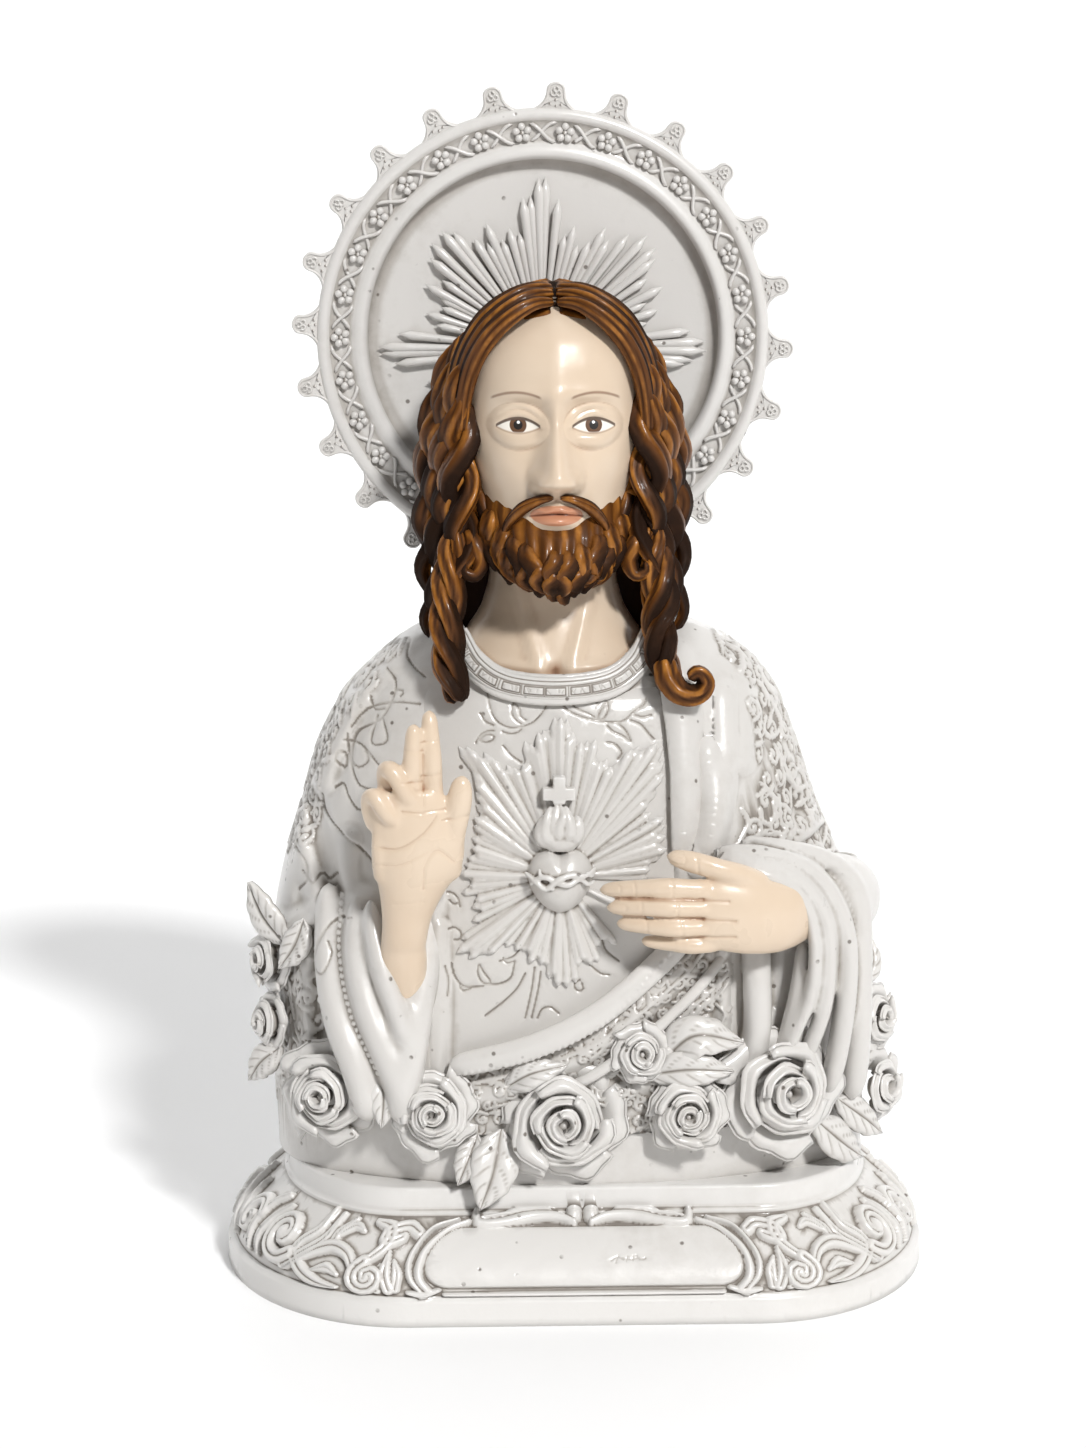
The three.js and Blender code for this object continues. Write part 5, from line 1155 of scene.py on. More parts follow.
def skinned(finish):
    hollow = finish.mark("hollow")
    cloud = finish.grain(45, 3, 0.55)
    base = finish.blend(cloud.over(0.35, 0.75) * 0.5, colour(216, 197, 175), colour(206, 182, 156))
    # brown in the creases and hollows, darker in the deepest: partly a wash, partly painted shade
    wash_and_shade = (hollow + (cloud - 0.5) * 0.35).over(0.12, 0.8)
    deep = (hollow + (cloud - 0.5) * 0.3).over(0.6, 1.1)
    base = finish.layers(base, (wash_and_shade * 0.8, 150, 104, 70), (deep * 0.7, 92, 56, 34))
    finish.feed(Roughness=0.24 + wash_and_shade * 0.2 + cloud * 0.08, Coat_Weight=0.3, Coat_Roughness=0.14, IOR=1.4)
    finish.bump(finish.grain(300, 3), 0.12, 0.0005)
    return base


skin_paint.feed(Base_Color=skinned(skin_paint))
for name, skins in (("raised_hand", raised_hand), ("pointing_hand", pointing_hand)):
    hand = fused(skins, 0.5, 11)
    points, pairs = points_of(hand), pairs_of(hand)
    wrist = np.exp(-((points[:, 2] - PLINTH_TOP - 81) / 7) ** 2) * (name == "raised_hand")
    moved(hand, points + wrist[:, None] * (settled(points, pairs, 90, 0.7) - points))
    points, out = points_of(hand), outwards_of(hand)
    place = off_figure(points)
    cut = 0.6 * raised(place[:, (0, 2)], creases) * np.clip(-out[:, 1] * 2.5, 0, 1) * (place[:, 1] < -58)
    moved(hand, points + out * cut[:, None])
    mark = np.maximum(0.85 * hollows(hand, 8, 60, 0.3, 2.4), -cut * 0.7)
    finished(name, thinned(marked(hand, mark), 36000), skin_paint, "statue")


# Head, neck and the skin above the collar. The same casting. The face is a plain carver's type with even
# thirds and closed lips, cream gloss paint, with painted eyes, brows and lips.
HEAD_BACK, NECK_BACK = -15, -14
head = np.array([
    (186, 6, 6, 20, 2), (189, 11, 11, 28, 8), (193, 16, 16, 31.5, 16), (199, 20.5, 20.5, 31.5, 24),
    (206, 23, 23, 30, 28), (214, 25, 25, 29.4, 31), (222, 26.2, 26.2, 28.4, 33), (229, 26.8, 26.8, 27.6, 34.5),
    (236, 27, 27, 29.0, 35), (246, 26.6, 26.6, 28.6, 34.5), (254, 24.6, 24.6, 26, 32), (261, 19.5, 19.5, 20.5, 26),
    (266, 11.5, 11.5, 12.5, 16)])
rows = np.linspace(186, 266, 180)
s = np.linspace(-1, 1, 221)[:-1]
x, y, z, sin = rings_of(head, rows, -np.pi / 2 + np.pi * (0.42 * s + 0.58 * s ** 3), 42, 2.12)


def swell(x, z, at_x, at_z, wide, high):
    return np.exp(-((x - at_x) / wide) ** 2 - ((z - at_z) / high) ** 2)


side = np.abs(x)
nose_rows = np.array([(241, 0.4, 3.4), (236, 2.0, 3.4), (230, 4.6, 3.6), (224, 7.4, 4.2), (218, 10.2, 5.2),
                      (215, 11.4, 5.8),
                      (212.6, 11.0, 6.0), (210.8, 8.0, 5.6), (209.4, 3.0, 5.0), (208, 0.8, 4.6), (206, 0, 4)])[::-1]
nose_out = eased(np.interp(z, nose_rows[:, 0], nose_rows[:, 1]), 4)
nose_wide = np.interp(z, nose_rows[:, 0], nose_rows[:, 2])
EYE_X, EYE_Z = 11.2, 229.0
eye_u = (side - EYE_X) / 6.6
lid_top = EYE_Z + 2.5 * (1 - np.clip(np.abs(eye_u), 0, 1) ** 2.2) - 0.5 * np.abs(eye_u) + 0.3 * eye_u
lid_low = EYE_Z - 1.9 * (1 - np.clip(np.abs(eye_u), 0, 1) ** 2.0) - 0.5 * np.abs(eye_u) + 0.3 * eye_u
ball = 3.5 * np.clip(1 - ((side - EYE_X) / 9.2) ** 2 - ((z - EYE_Z) / 7.0) ** 2, 0, 1) ** 0.9
above = np.clip((z - lid_top) / 0.7, 0, 1)
below = np.clip((lid_low - z) / 0.8, 0, 1)
outer = np.clip((np.abs(eye_u) - 0.95) / 0.12, 0, 1)
face = nose_out * np.exp(-np.abs(side / nose_wide) ** 2.3)
face += 3.0 * swell(side, z, 5.3, 212.8, 2.6, 2.8) - 1.4 * swell(side, z, 2.6, 209.6, 1.3, 1.0)
face -= 0.8 * swell(side, z, 8.6, 213.6, 1.6, 3.6)
face -= 4.4 * swell(side, z, 9.6, 231.4, 7.2, 5.4)
face += ball + np.clip(ball / 1.6, 0, 1) * 0.8 * np.maximum(above, np.maximum(below * 0.7, outer * 0.6))
face -= 0.7 * np.exp(-((z - lid_top - 2.6) / 0.6) ** 2) * np.clip(1 - (eye_u / 1.25) ** 2, 0, 1)
face += 1.5 * swell(side, z, 10.5, 238.4, 8, 2.6) + 1.0 * swell(x, z, 0, 240, 6, 5)
face += 2.0 * swell(side, z, 16.5, 219.5, 7, 7) - 1.2 * swell(side, z, 17, 206, 6, 7)
face += 2.0 * swell(x, z, 0, 203.5, 11, 7.5) - 0.7 * swell(x, z, 0, 207.6, 1.2, 1.6)
face += 1.7 * np.exp(-((z - 205.0 - 0.4 * np.cos(side * 0.9)) / 1.3) ** 2) * np.clip(1 - (x / 8.4) ** 2, 0, 1)
face += 2.1 * np.exp(-((z - 201.5) / 1.7) ** 2) * np.clip(1 - (x / 7.0) ** 2, 0, 1)
face -= 1.5 * np.exp(-((z - 203.5 + 0.012 * x * x) / 0.45) ** 2) * np.clip(1 - (x / 8.8) ** 2, 0, 1)
face -= 1.0 * swell(x, z, 0, 197.4, 5, 1.6) - 1.6 * swell(x, z, 0, 191.5, 8, 4.5)
face -= 1.1 * swell(side, z, 25, 241, 5, 9)
y = y - face * np.clip(-sin, 0, 1) ** 0.8
head_mesh = shell("head", on_figure(np.stack([x, y + HEAD_BACK, z], 2)))
# darker in the face's hollows: partly wash, partly painted shade
marked(head_mesh, hollows(head_mesh, 6, 40, 0.5, 3.0) * 0.9)


# Neck. The same casting, from under the collar up into the head: two soft cords, the pit between them and
# the collar bones. The skin's cream gloss paint, darker along the collar's edge: partly wash, partly painted shade.
neck = np.array([
    (146, 39, 39, 28, 14), (152, 36, 36, 27, 15), (158, 32, 32, 25, 16), (165, 26.4, 26.4, 21.6, 17),
    (172, 21.8, 21.8, 18.4, 18), (180, 19.6, 19.6, 17, 18.5), (192, 19, 19, 17.5, 19), (204, 19, 19, 19, 20)])
rows = np.linspace(146, 204, 90)
x, y, z, sin = rings_of(neck, rows, -np.pi / 2 + np.linspace(0, 2 * np.pi, 130)[:-1], 12)
side = np.abs(x)
cord = 1.3 * np.exp(-((side - np.interp(z, [152, 190], [3.5, 15])) / 2.2) ** 2)
cord -= 1.5 * swell(x, z, 0, 153.5, 3.2, 3.5)
cord += 0.9 * np.exp(-((z - 155.5 - 0.1 * side) / 1.6) ** 2) * np.clip((side - 4) / 5, 0, 1)
y -= cord * np.clip(-sin * 1.5, 0, 1)
neck_mesh = shell("neck", on_figure(np.stack([x, y + NECK_BACK, z], 2)))
points = points_of(neck_mesh)
neck_mark = hollows(neck_mesh, 6, 30, 0.5, 2.5)
collar_line = np.interp(np.abs(points[:, 0] - FIGURE_SHIFT), [0, 12, 17, 24, 27], [155.2, 155.6, 156.6, 161.4, 167])
# a darker band just above the collar's edge: painted shade where the collar meets the neck, partly wash
edge = np.clip(1 - (points[:, 2] - PLINTH_TOP - collar_line) / 1.6, 0, 1) * 0.45
finished("neck", neck_mesh, skin_paint, "statue", np.maximum(neck_mark, edge))

# paint of the face, laid out in mm from the face's middle and the plinth's top
face_paint = Finish("cream_face")
grid_x = face_paint.place("X") / STEP - FIGURE_SHIFT
grid_z = face_paint.place("Z") / STEP - PLINTH_TOP
front = (-1 * face_paint.place("Y")).over(0.034, 0.036)
side = grid_x.size()


def within(centre_x, centre_z, wide, high):
    """1 inside an ellipse on the face, 0 outside, with a soft painted edge"""
    reach = ((side - centre_x) / wide) ** 2 + ((grid_z - centre_z) / high) ** 2
    return (1.06 - reach).over(0, 0.12)


u = ((side - EYE_X) / 6.6).size().least(1)
bow = 1 - u * u
top = grid_z * -1 + (bow * 2.35 + EYE_Z - 0.1)
low = grid_z - (bow * -1.8 + EYE_Z - 0.25)
opening = top.over(0, 0.5) * low.over(0, 0.5) * (1 - u).over(0, 0.06) * front
iris = opening * within(EYE_X, EYE_Z + 0.35, 2.5, 2.5)
pupil = opening * within(EYE_X, EYE_Z + 0.35, 1.35, 1.35)
glint = opening * within(EYE_X - 0.1, EYE_Z + 1.1, 0.45, 0.45)
lash = (0.62 - top.size()).over(0, 0.3) * (1 - u).over(0, 0.04) * front
under = (0.4 - low.size()).over(0, 0.3) * (1 - u).over(0, 0.04) * front
brow_u = (side - 11.8) / 7.6
arch = grid_z - (brow_u * brow_u * -1.9 + 239.0 - brow_u * 0.2)
brow = (0.62 - arch.size()).over(0, 0.45) * (1 - brow_u.size()).over(0, 0.12) * front
lip = within(0, 203.2, 7.8, 3.0) * front * (206.4 - grid_z).over(0, 0.5)
off_seam = (grid_z - 203.45 + grid_x * grid_x * 0.012).size()
seam = (0.42 - off_seam).over(0, 0.35) * within(0, 203.2, 8.2, 3.0) * front
base = face_paint.layers(
    skinned(face_paint), (opening, 236, 230, 220), (iris, 96, 66, 44), (pupil, 22, 16, 14), (glint, 240, 240, 240),
    (lash * 0.85, 58, 34, 22), (under * 0.4, 120, 78, 52), (brow * 0.7, 112, 72, 44), (lip * 0.75, 190, 112, 70),
    (seam * 0.8, 96, 48, 30))
matt = face_paint.grain(45, 3, 0.55)
face_paint.feed(Base_Color=base, Coat_Weight=0.26 + opening * -0.24, Roughness=0.27 + matt * 0.08 + opening * 0.3)
finished("head", head_mesh, face_paint, "statue")


# Hair. The same casting, cut into deep waving locks from a middle parting, long at the sides, with twisted
# ends on the breast; brown gloss paint, ochre rubbed on the ridges, nearly black in the grooves, which is painted
# shade.
hair_skins = []


def lock(path, wide, deep, count, turns, thick, phase, steps):
    """A twisted lock: strands that wind about a smooth path, closer at the ends"""
    line = line_through(path, steps)
    _, out, across = ways_at(line, (0, -1, 0))
    t = np.linspace(0, 1, steps)
    narrow = np.interp(t, [0, 0.15, 0.8, 1], [0.55, 1, 1, 0.6])[:, None]
    for k in range(count):
        turn = 2 * np.pi * (k / count + turns * t) + phase
        route = line + across * (wide * np.sin(turn))[:, None] * narrow
        route = route + out * (deep * np.cos(turn))[:, None] * narrow
        hair_skins.append(tube(route, np.array([0.5, 1, 1.05, 1, 1, 0.8]) * thick,
                               np.array([0.5, 0.9, 0.9, 0.9, 0.9, 0.7]) * thick * 0.85, sides=20, steps=steps,
                               grooves=5, cut=0.26, twist=3.4, round_ends=0.05))


mass = np.array([
    (160, 27, 27, 2, 17), (196, 29, 29, 2, 19), (222, 29.5, 29.5, 9, 33), (240, 29, 29, 18, 35.5),
    (252, 27.6, 27.6, 22.4, 33), (260, 22.8, 22.8, 22, 28), (266, 15, 15, 17, 20), (269.4, 7, 7, 9, 10),
    (270.6, 2, 2, 3, 3)])
rows = np.r_[np.linspace(160, 236, 34), np.linspace(237, 270.6, 66)]
x, y, z, _ = rings_of(mass, rows, np.linspace(0, 2 * np.pi, 131)[:-1], 6)
y = y + NECK_BACK
# fine grooves that run with the comb, from the parting down over both sides
comb = np.cos(2 * np.pi * (y + 0.05 * (270 - z)) / 2.6 + 0.6 * np.sin(y / 4))
comb += 0.6 * np.cos(2 * np.pi * y / 5.9 + 1)
comb *= np.clip((z - 236) / 8, 0, 1) * 1.5
parting = np.exp(-(x / 1.3) ** 2) * np.clip((z - 255) / 6, 0, 1) * (y < 4)
x, y = x * (1 + 0.011 * comb), y * (1 + 0.006 * comb)
z = z + 0.16 * comb * np.clip((z - 258) / 8, 0, 1) - 1.6 * parting
# darker low on the mass where the locks cover it, in the comb's grooves and along the parting: painted shade
mark = np.interp(z, [238, 248], [0.9, 0.05]) + 0.35 * np.clip(-comb, 0, 1) + parting
hair_skins.append(skin(on_figure(np.stack([x, y, z], 2)), mark))


def over_skull(angle, z, lift=0.0):
    """A place on the hair's mass, angle from straight ahead round to the back"""
    side, front, back = (np.interp(z, mass[:, 0], mass[:, k]) for k in (1, 3, 4))
    aside, away = math.sin(math.radians(angle)), -math.cos(math.radians(angle))
    r = 1 + lift / 28
    return (aside * side * r, away * (front if away < 0 else back) * r + NECK_BACK, z)


# where the side hair hangs: height, then x and y of its edge by the face, x and y of its outer side
fall = np.array([
    (254, 23, -32, 26, -12), (246, 26.4, -32, 30, -10), (238, 28, -31, 33, -9), (222, 28.4, -29, 35.6, -10),
    (206, 28, -30, 37, -13), (190, 27.6, -33.5, 36.8, -17), (176, 28, -37.5, 36.8, -21),
    (160, 28.6, -41.5, 36, -26), (146, 29, -45, 35, -30)])
chance = np.random.default_rng(4)
for hand in (1, -1):
    # down the back, from under the combed crown
    for k in range(13):
        angle = 84 + 7.4 * k + chance.uniform(-2, 2)
        sway = chance.uniform(4, 7)
        places = []
        for i, z in enumerate((254, 246, 236, 226, 215, 204, 192, 180, 168, 160)):
            wave = i * 1.5 + k * 2.1
            x, y, z = over_skull(angle + sway * math.sin(wave), z, 0.6 + 1.2 * min(i, 2) + 1.3 * math.cos(wave))
            places.append((hand * x, y, z))
        hair_skins.append(tube(places, (1.2, 3.0, 3.7, 3.8, 3.6, 1.8), (1.0, 2.2, 3.0, 3.0, 2.6, 1.4),
                               sides=12, steps=44, grooves=4, cut=0.24, twist=2.2 * hand, round_ends=0.04))
    # band that frames the forehead
    frame_path = [(0.4, -33, 265), (7, -38, 264.6), (14, -39.6, 260.6), (20.4, -37.6, 254), (24.6, -34.4, 246),
                  (27, -31.6, 237), (28, -30, 226)]
    for k, (dx, dy, dz, thick) in enumerate([(0, 0, 0, 2.7), (0.8, 3.4, 2.2, 3.2), (2.0, 7.4, 3.6, 3.4)]):
        path = [(hand * (x + dx * min(1, i / 2)), y + dy, z + dz * (1 - i / 7))
                for i, (x, y, z) in enumerate(frame_path)]
        hair_skins.append(tube(path, np.array([0.5, 1.0, 1.2, 1.15, 1, 0.8]) * thick,
                               np.array([0.6, 0.8, 0.85, 0.9, 0.7]) * thick, sides=24, steps=50,
                               grooves=7, cut=0.2, twist=0.9 * hand, round_ends=0.04))
    # waving locks at the sides, in pairs that cross
    for k, (share, top, low, phase, thick) in enumerate([
        (0.95, 252, 170, 0.3, 4.1), (0.95, 246, 163, 3.3, 3.9), (0.6, 252, 168, 2.0, 4.3),
        (0.62, 248, 162, 5.1, 4.1), (0.28, 250, 172, 0.9, 4.3), (0.3, 244, 176, 4.1, 4.0),
        (0.05, 247, 178, 5.6, 4.1), (0.0, 238, 184, 2.7, 3.4),
    ]):
        places = []
        for t in np.linspace(0, 1, 13):
            z = top + (low - top) * t
            near, out_ = (np.array([np.interp(-z, -fall[:, 0], fall[:, c + d]) for d in (0, 1)]) for c in (1, 3))
            x, y = near + (out_ - near) * share
            turn = phase + (0.35 if hand > 0 else -0.4) + 2 * math.pi * (254 - z) / 31
            reach = min(1, 0.25 + 3 * t)
            places.append((hand * (x + 3.3 * reach * math.sin(turn)), y - 2.6 * reach * math.cos(turn), z))
        hair_skins.append(tube(places, np.array([0.5, 1.05, 1.15, 1.0, 1.15, 1.0, 0.45]) * thick,
                               np.array([0.5, 0.9, 0.95, 0.9, 0.95, 0.8, 0.4]) * thick * 0.84, sides=20, steps=56,
                               grooves=5, cut=0.27, twist=3.6 * hand * (1 if k % 2 else -1), round_ends=0.05))
    # twisted lock on the breast
    tail = 1 if hand > 0 else 0
    lock([(hand * 29, -31, 198), (hand * (31 - tail), -34, 188), (hand * 32, -37, 178),
          (hand * (32.6 - 1.6 * tail), -40, 168),
          (hand * (31.6 + tail), -43, 157), (hand * (29 + 6 * tail), -45.6 + tail, 147 + 4 * tail)], 2.6, 2.3, 3,
          1.5 * hand, 3.3, 0.4, 50)
    # small curl beside the cheek
    x, y, z = 25.5, -35, 188
    path = [(x + 1, y + 3, z + 9), (x - 1.5, y, z + 5), (x - 3.4, y - 1, z), (x - 1.4, y - 2, z - 4),
            (x + 1.8, y - 2.4, z - 2.6), (x + 1.4, y - 2.8, z + 0.4)]
    hair_skins.append(tube([(hand * p, q, r) for p, q, r in path], (1.6, 2.8, 2.9, 2.4, 1.9, 1.1),
                           (1.4, 2.4, 2.4, 2.0, 1.4), sides=12, steps=30, grooves=4, cut=0.12, twist=2,
                           round_ends=0.07))
# outward curl at the right lock's end
hair_skins.append(tube([(32, -44.6, 160), (33.6, -46, 153.6), (37.6, -47.4, 149.6), (42.6, -48, 149.8),
                        (44.6, -48.2, 153.4), (42, -48.8, 156.2), (39.2, -49, 154.2)],
                       (3.4, 4.3, 4.0, 3.4, 2.8, 2.2), (3.2, 3.8, 3.4, 2.8, 2.0),
                       sides=20, steps=40, grooves=5, cut=0.24, twist=2, round_ends=0.06))
hair_paint = Finish("brown_hair")


def haired(finish):
    """Brown gloss paint, ochre on the ridges, nearly black in the grooves and on the strands' far sides: painted
    shade
    """
    hollow = finish.mark("hollow")
    cloud = finish.grain(90, 3, 0.6)
    streak = finish.grain(130, 4, 0.6, (1, 1, 0.28))
    ridge = (0.6 - hollow + (streak - 0.5) * 1.1).over(0.3, 0.85)
    ochre = ridge * (cloud + (streak - 0.5) * 0.5).over(0.42, 0.66)
    # nearly black in the grooves, on the far sides of strands and low under the locks: painted shade
    painted_shade = (hollow + (cloud - 0.5) * 0.35).over(0.3, 0.8)
    base = finish.layers(colour(92, 54, 21), (ridge, 148, 94, 38), (ochre * 0.85, 200, 134, 60),
                         (painted_shade * 0.94, 24, 11, 4))
    finish.feed(Base_Color=base, Roughness=0.34 + painted_shade * 0.4, Coat_Weight=0.12 + painted_shade * -0.12,
                Coat_Roughness=0.1, IOR=1.4, Specular_IOR_Level=0.2)
    finish.bump(streak * 0.8 + finish.grain(380, 2) * 0.2, 0.3, 0.0007)


haired(hair_paint)
assembled("hair", hair_skins, hair_paint, "statue")


# Beard and moustache. The same casting: short curls in overlapping rows on a rounded body, a drooping
# moustache over them, and whiskers that run up into the hair. The hair's brown gloss paint.
beard_skins = []
BEARD_ROUND = 84
jaw = np.array([
    (180, 9, 9, 30, -16), (184, 14.6, 14.6, 35.5, -6), (190, 19.2, 19.2, 36.5, 2), (197, 21, 21, 34.5, 8),
    (204, 22.4, 22.4, 31, 14), (212, 23.6, 23.6, 26.5, 18)])


def on_jaw(angle, z, lift=0.0):
    wide, front = (np.interp(z, jaw[:, 0], jaw[:, k]) for k in (1, 3))
    aside, ahead = math.sin(math.radians(angle)), math.cos(math.radians(angle))
    return (aside * (wide + lift), -ahead * (front + lift) + HEAD_BACK, z)


def beard_low(angle):
    return 181.5 + 10 * (abs(angle) / BEARD_ROUND) ** 1.6


def beard_top(angle):
    return np.interp(abs(angle), [0, 12, 24, 42, 62, BEARD_ROUND], [198.4, 199.2, 203.4, 207.5, 214, 224])


# the full body of the beard, rounded at its upper edge under the lip
bulk = []
for w in np.linspace(0, 1, 34):
    row = []
    for b in np.linspace(-BEARD_ROUND, BEARD_ROUND, 90):
        z = beard_low(b) + (beard_top(b) - beard_low(b)) * w
        pad = 2.6 * math.sin(math.pi * min(1, 0.12 + w * 0.88)) ** 0.6 - 1.0 - 0.8 * (abs(b) / BEARD_ROUND) ** 2
        pad += 0.5 * math.cos(b * 0.55 + 1.2 * math.sin(z / 4)) * min(1, 3 * (1 - w))
        row.append(on_jaw(b, z, pad))
    bulk.append(row)
bulk = np.array(bulk)
backing = bulk[:, ::-1] * (0.7, 0, 1) + (0, -18, 0)
# the body under the curls is darkened, more in stripes round it: painted shade
ridged = np.zeros(bulk.shape[:2]) + 0.25 + 0.25 * np.cos(np.linspace(-BEARD_ROUND, BEARD_ROUND, 90) * 0.55)[None]
beard_skins.append(skin(on_figure(np.concatenate([bulk, backing], 1)), np.concatenate([ridged, ridged], 1)))
chance = np.random.default_rng(9)
# rows of curls: count, how far round, where they start, lift, thickness
tiers = [(12, 74, 0.62, 0.4, 3.5), (12, 68, 0.36, 1.4, 3.1), (8, 50, 0.16, 1.6, 2.7)]
for tier, (count, spread, start, lift, thick) in enumerate(tiers):
    for k in range(count):
        angle = -spread + 2 * spread * k / (count - 1) + chance.uniform(-2, 2)
        low, top = beard_low(angle), beard_top(angle)
        z0 = low + (top - low) * (start + chance.uniform(-0.06, 0.06))
        z1 = low - (0.5, 0.5, 2.6)[tier] + (2.6, 0.6, 0)[tier] + chance.uniform(-1, 1)
        way = chance.choice([-1, 1])
        bend = chance.uniform(3, 6)
        path = [on_jaw(angle, z0, lift - 2.4), on_jaw(angle + way * bend * 0.5, z0 + (z1 - z0) * 0.35, lift + 0.6),
                on_jaw(angle - way * bend * 0.4, z0 + (z1 - z0) * 0.7, lift + 1.2),
                on_jaw(angle + way * bend * 0.6, z1, lift + 1.0),
                on_jaw(angle + way * bend * 1.9, z1 + 0.4, lift + 0.2),
                on_jaw(angle + way * bend * 1.7, z1 + 1.4, lift - 1.6)]
        beard_skins.append(tube(path, np.array([0.5, 1.0, 1.1, 1.0, 0.75, 0.4]) * thick,
                                np.array([0.4, 0.8, 0.95, 0.9, 0.6]) * thick, sides=16, steps=24,
                                grooves=4, cut=0.26, twist=2.2 * way, round_ends=0.08))
for hand in (1, -1):
    # drooping moustache
    for rise, thick in ((0, 1.5), (1.3, 1.1)):
        path = [(hand * 0.8, -47.8, 208.2 + rise * 0.4), (hand * 5, -48.4, 207.6 + rise * 0.6),
                (hand * 10, -46.4, 204.8 + rise), (hand * 14.2, -42.6, 200 + rise),
                (hand * 16, -40.4, 195.6 + rise)]
        beard_skins.append(tube(path, (0.7, thick, thick * 1.2, thick, 0.7),
                                (0.8, thick, thick, 0.8 * thick, 0.5), sides=12, steps=26,
                                grooves=3, cut=0.16, twist=1.6 * hand, round_ends=0.1))
    # side whiskers: a strip with a row of small curls, up into the hair
    for k in range(3):
        path = [on_jaw(hand * (74 + 6 * k), 226 - k, -1.0), on_jaw(hand * (70 + 6 * k), 214, 0.6),
                on_jaw(hand * (64 + 7 * k), 204, 1.2),
                on_jaw(hand * (58 + 8 * k), 196, 1.4)]
        beard_skins.append(tube(path, (0.8, 2.2, 2.6, 1.6), (0.8, 1.6, 2.0, 1.2), sides=12, steps=24,
                                grooves=4, cut=0.14, twist=2 * hand, round_ends=0.08))
    for k in range(6):
        z = 222 - 3.8 * k
        path = [on_jaw(hand * (angle - k), z + up, lift)
                for angle, up, lift in ((66, 1.4, 1.2), (71, 0.6, 2.6), (75, -1.2, 2.8), (72, -2.4, 2.2))]
        beard_skins.append(tube(path, (0.8, 1.3, 1.3, 0.7), (0.8, 1.2, 1.2, 0.7), sides=10, steps=10,
                                round_ends=0.2))
beard_paint = Finish("brown_beard")
haired(beard_paint)
assembled("beard", beard_skins, beard_paint, "statue")


# Garland of roses round the foot of the robe. The same casting: full roses with thick overlapping petals,
# smaller blooms among them and up the sides, veined leaves between. White glaze, darker in the depths and
# under petals and leaves: partly painted shade, partly wash.
garland = []


def facing_frame(out):
    out = np.array(out, float)
    out /= np.linalg.norm(out)
    up = np.array([0, 0, 1.0]) - out * out[2]
    up /= np.linalg.norm(up)
    return np.stack([np.cross(up, out), up, out])


def rose(at, radius, out, turn, rings_of_petals, chance):
    """Tiers of thick petals round a small bud, turned to face one way"""
    axes = facing_frame(out)
    u = np.linspace(-1, 1, 15)
    for tier, (count, lip, foot, level, rise, span, first) in enumerate(rings_of_petals):
        for k in range(count):
            middle = turn + first + 2 * np.pi * k / count + chance.uniform(-0.18, 0.18)
            size = 1 + chance.uniform(-0.09, 0.09)
            notch, tilt = chance.uniform(0, 6.28), chance.uniform(-0.04, 0.05)
            sections, marks = [], []
            for v, thick in [(0, 0.5), (0.14, 1), (0.3, 1), (0.45, 1), (0.58, 1), (0.7, 1), (0.81, 1.05),
                             (0.9, 1.1), (0.97, 1.05), (1.02, 0.75), (1.045, 0.2)]:
                shrink = 1 - 0.17 * np.abs(u) ** 3
                w = v * shrink
                edge = 1 + v * v * (0.045 * np.cos(4.2 * u + notch) + 0.03 * np.cos(9 * u + 2 * notch))
                spread = radius * size * (foot + (lip - foot) * w ** 0.8) * (1 + 0.12 * u * v) * edge
                high = radius * (level + tilt + rise * np.sin(np.minimum(w, 1.05) * 2.15) + 0.055 * u * v)
                angle = middle + u * span * (0.6 + 0.4 * min(1, v * 1.5))
                half = 0.5 * thick * min(2.3, 0.1 * radius + 0.55) * (1, 1, 0.9, 0.75)[tier]
                both = []
                for inner in (1, -1):
                    r, h = spread - inner * half * 0.8, high + inner * half * 0.65
                    both.append(np.column_stack([r * np.cos(angle), r * np.sin(angle), h])[::inner])
                sections.append(np.vstack(both))
                # petal marks: darker near the foot and on the underside, and towards the sides: painted shade
                shade = 0.1 * np.abs(u) ** 4
                marks.append(np.r_[np.clip(0.66 - v * 1.3 + shade, -0.1, 1),
                                   np.clip(0.8 - v * 1.1 + shade, 0.06, 1)])
            local = np.array(sections) @ axes + np.array(at, float)
            garland.append(skin(on_figure(local), np.array(marks)))
    bud = []
    for v in np.linspace(0, 1, 9):
        a = np.linspace(0, 2 * np.pi, 15)[:-1]
        r = radius * 0.1 * math.sqrt(max(0.02, 1 - v ** 2.6)) * (1 + 0.2 * np.cos(a + 3 * v))
        bud.append(np.column_stack([r * np.cos(a), 1.25 * r * np.sin(a), np.full(14, radius * (0.05 + 0.36 * v))]))
    # the bud is darker towards its foot, deep in the rose: painted shade
    garland.append(skin(on_figure(np.array(bud) @ axes + np.array(at, float)),
                        np.repeat(np.linspace(0.8, 0, 9)[:, None], 14, 1)))


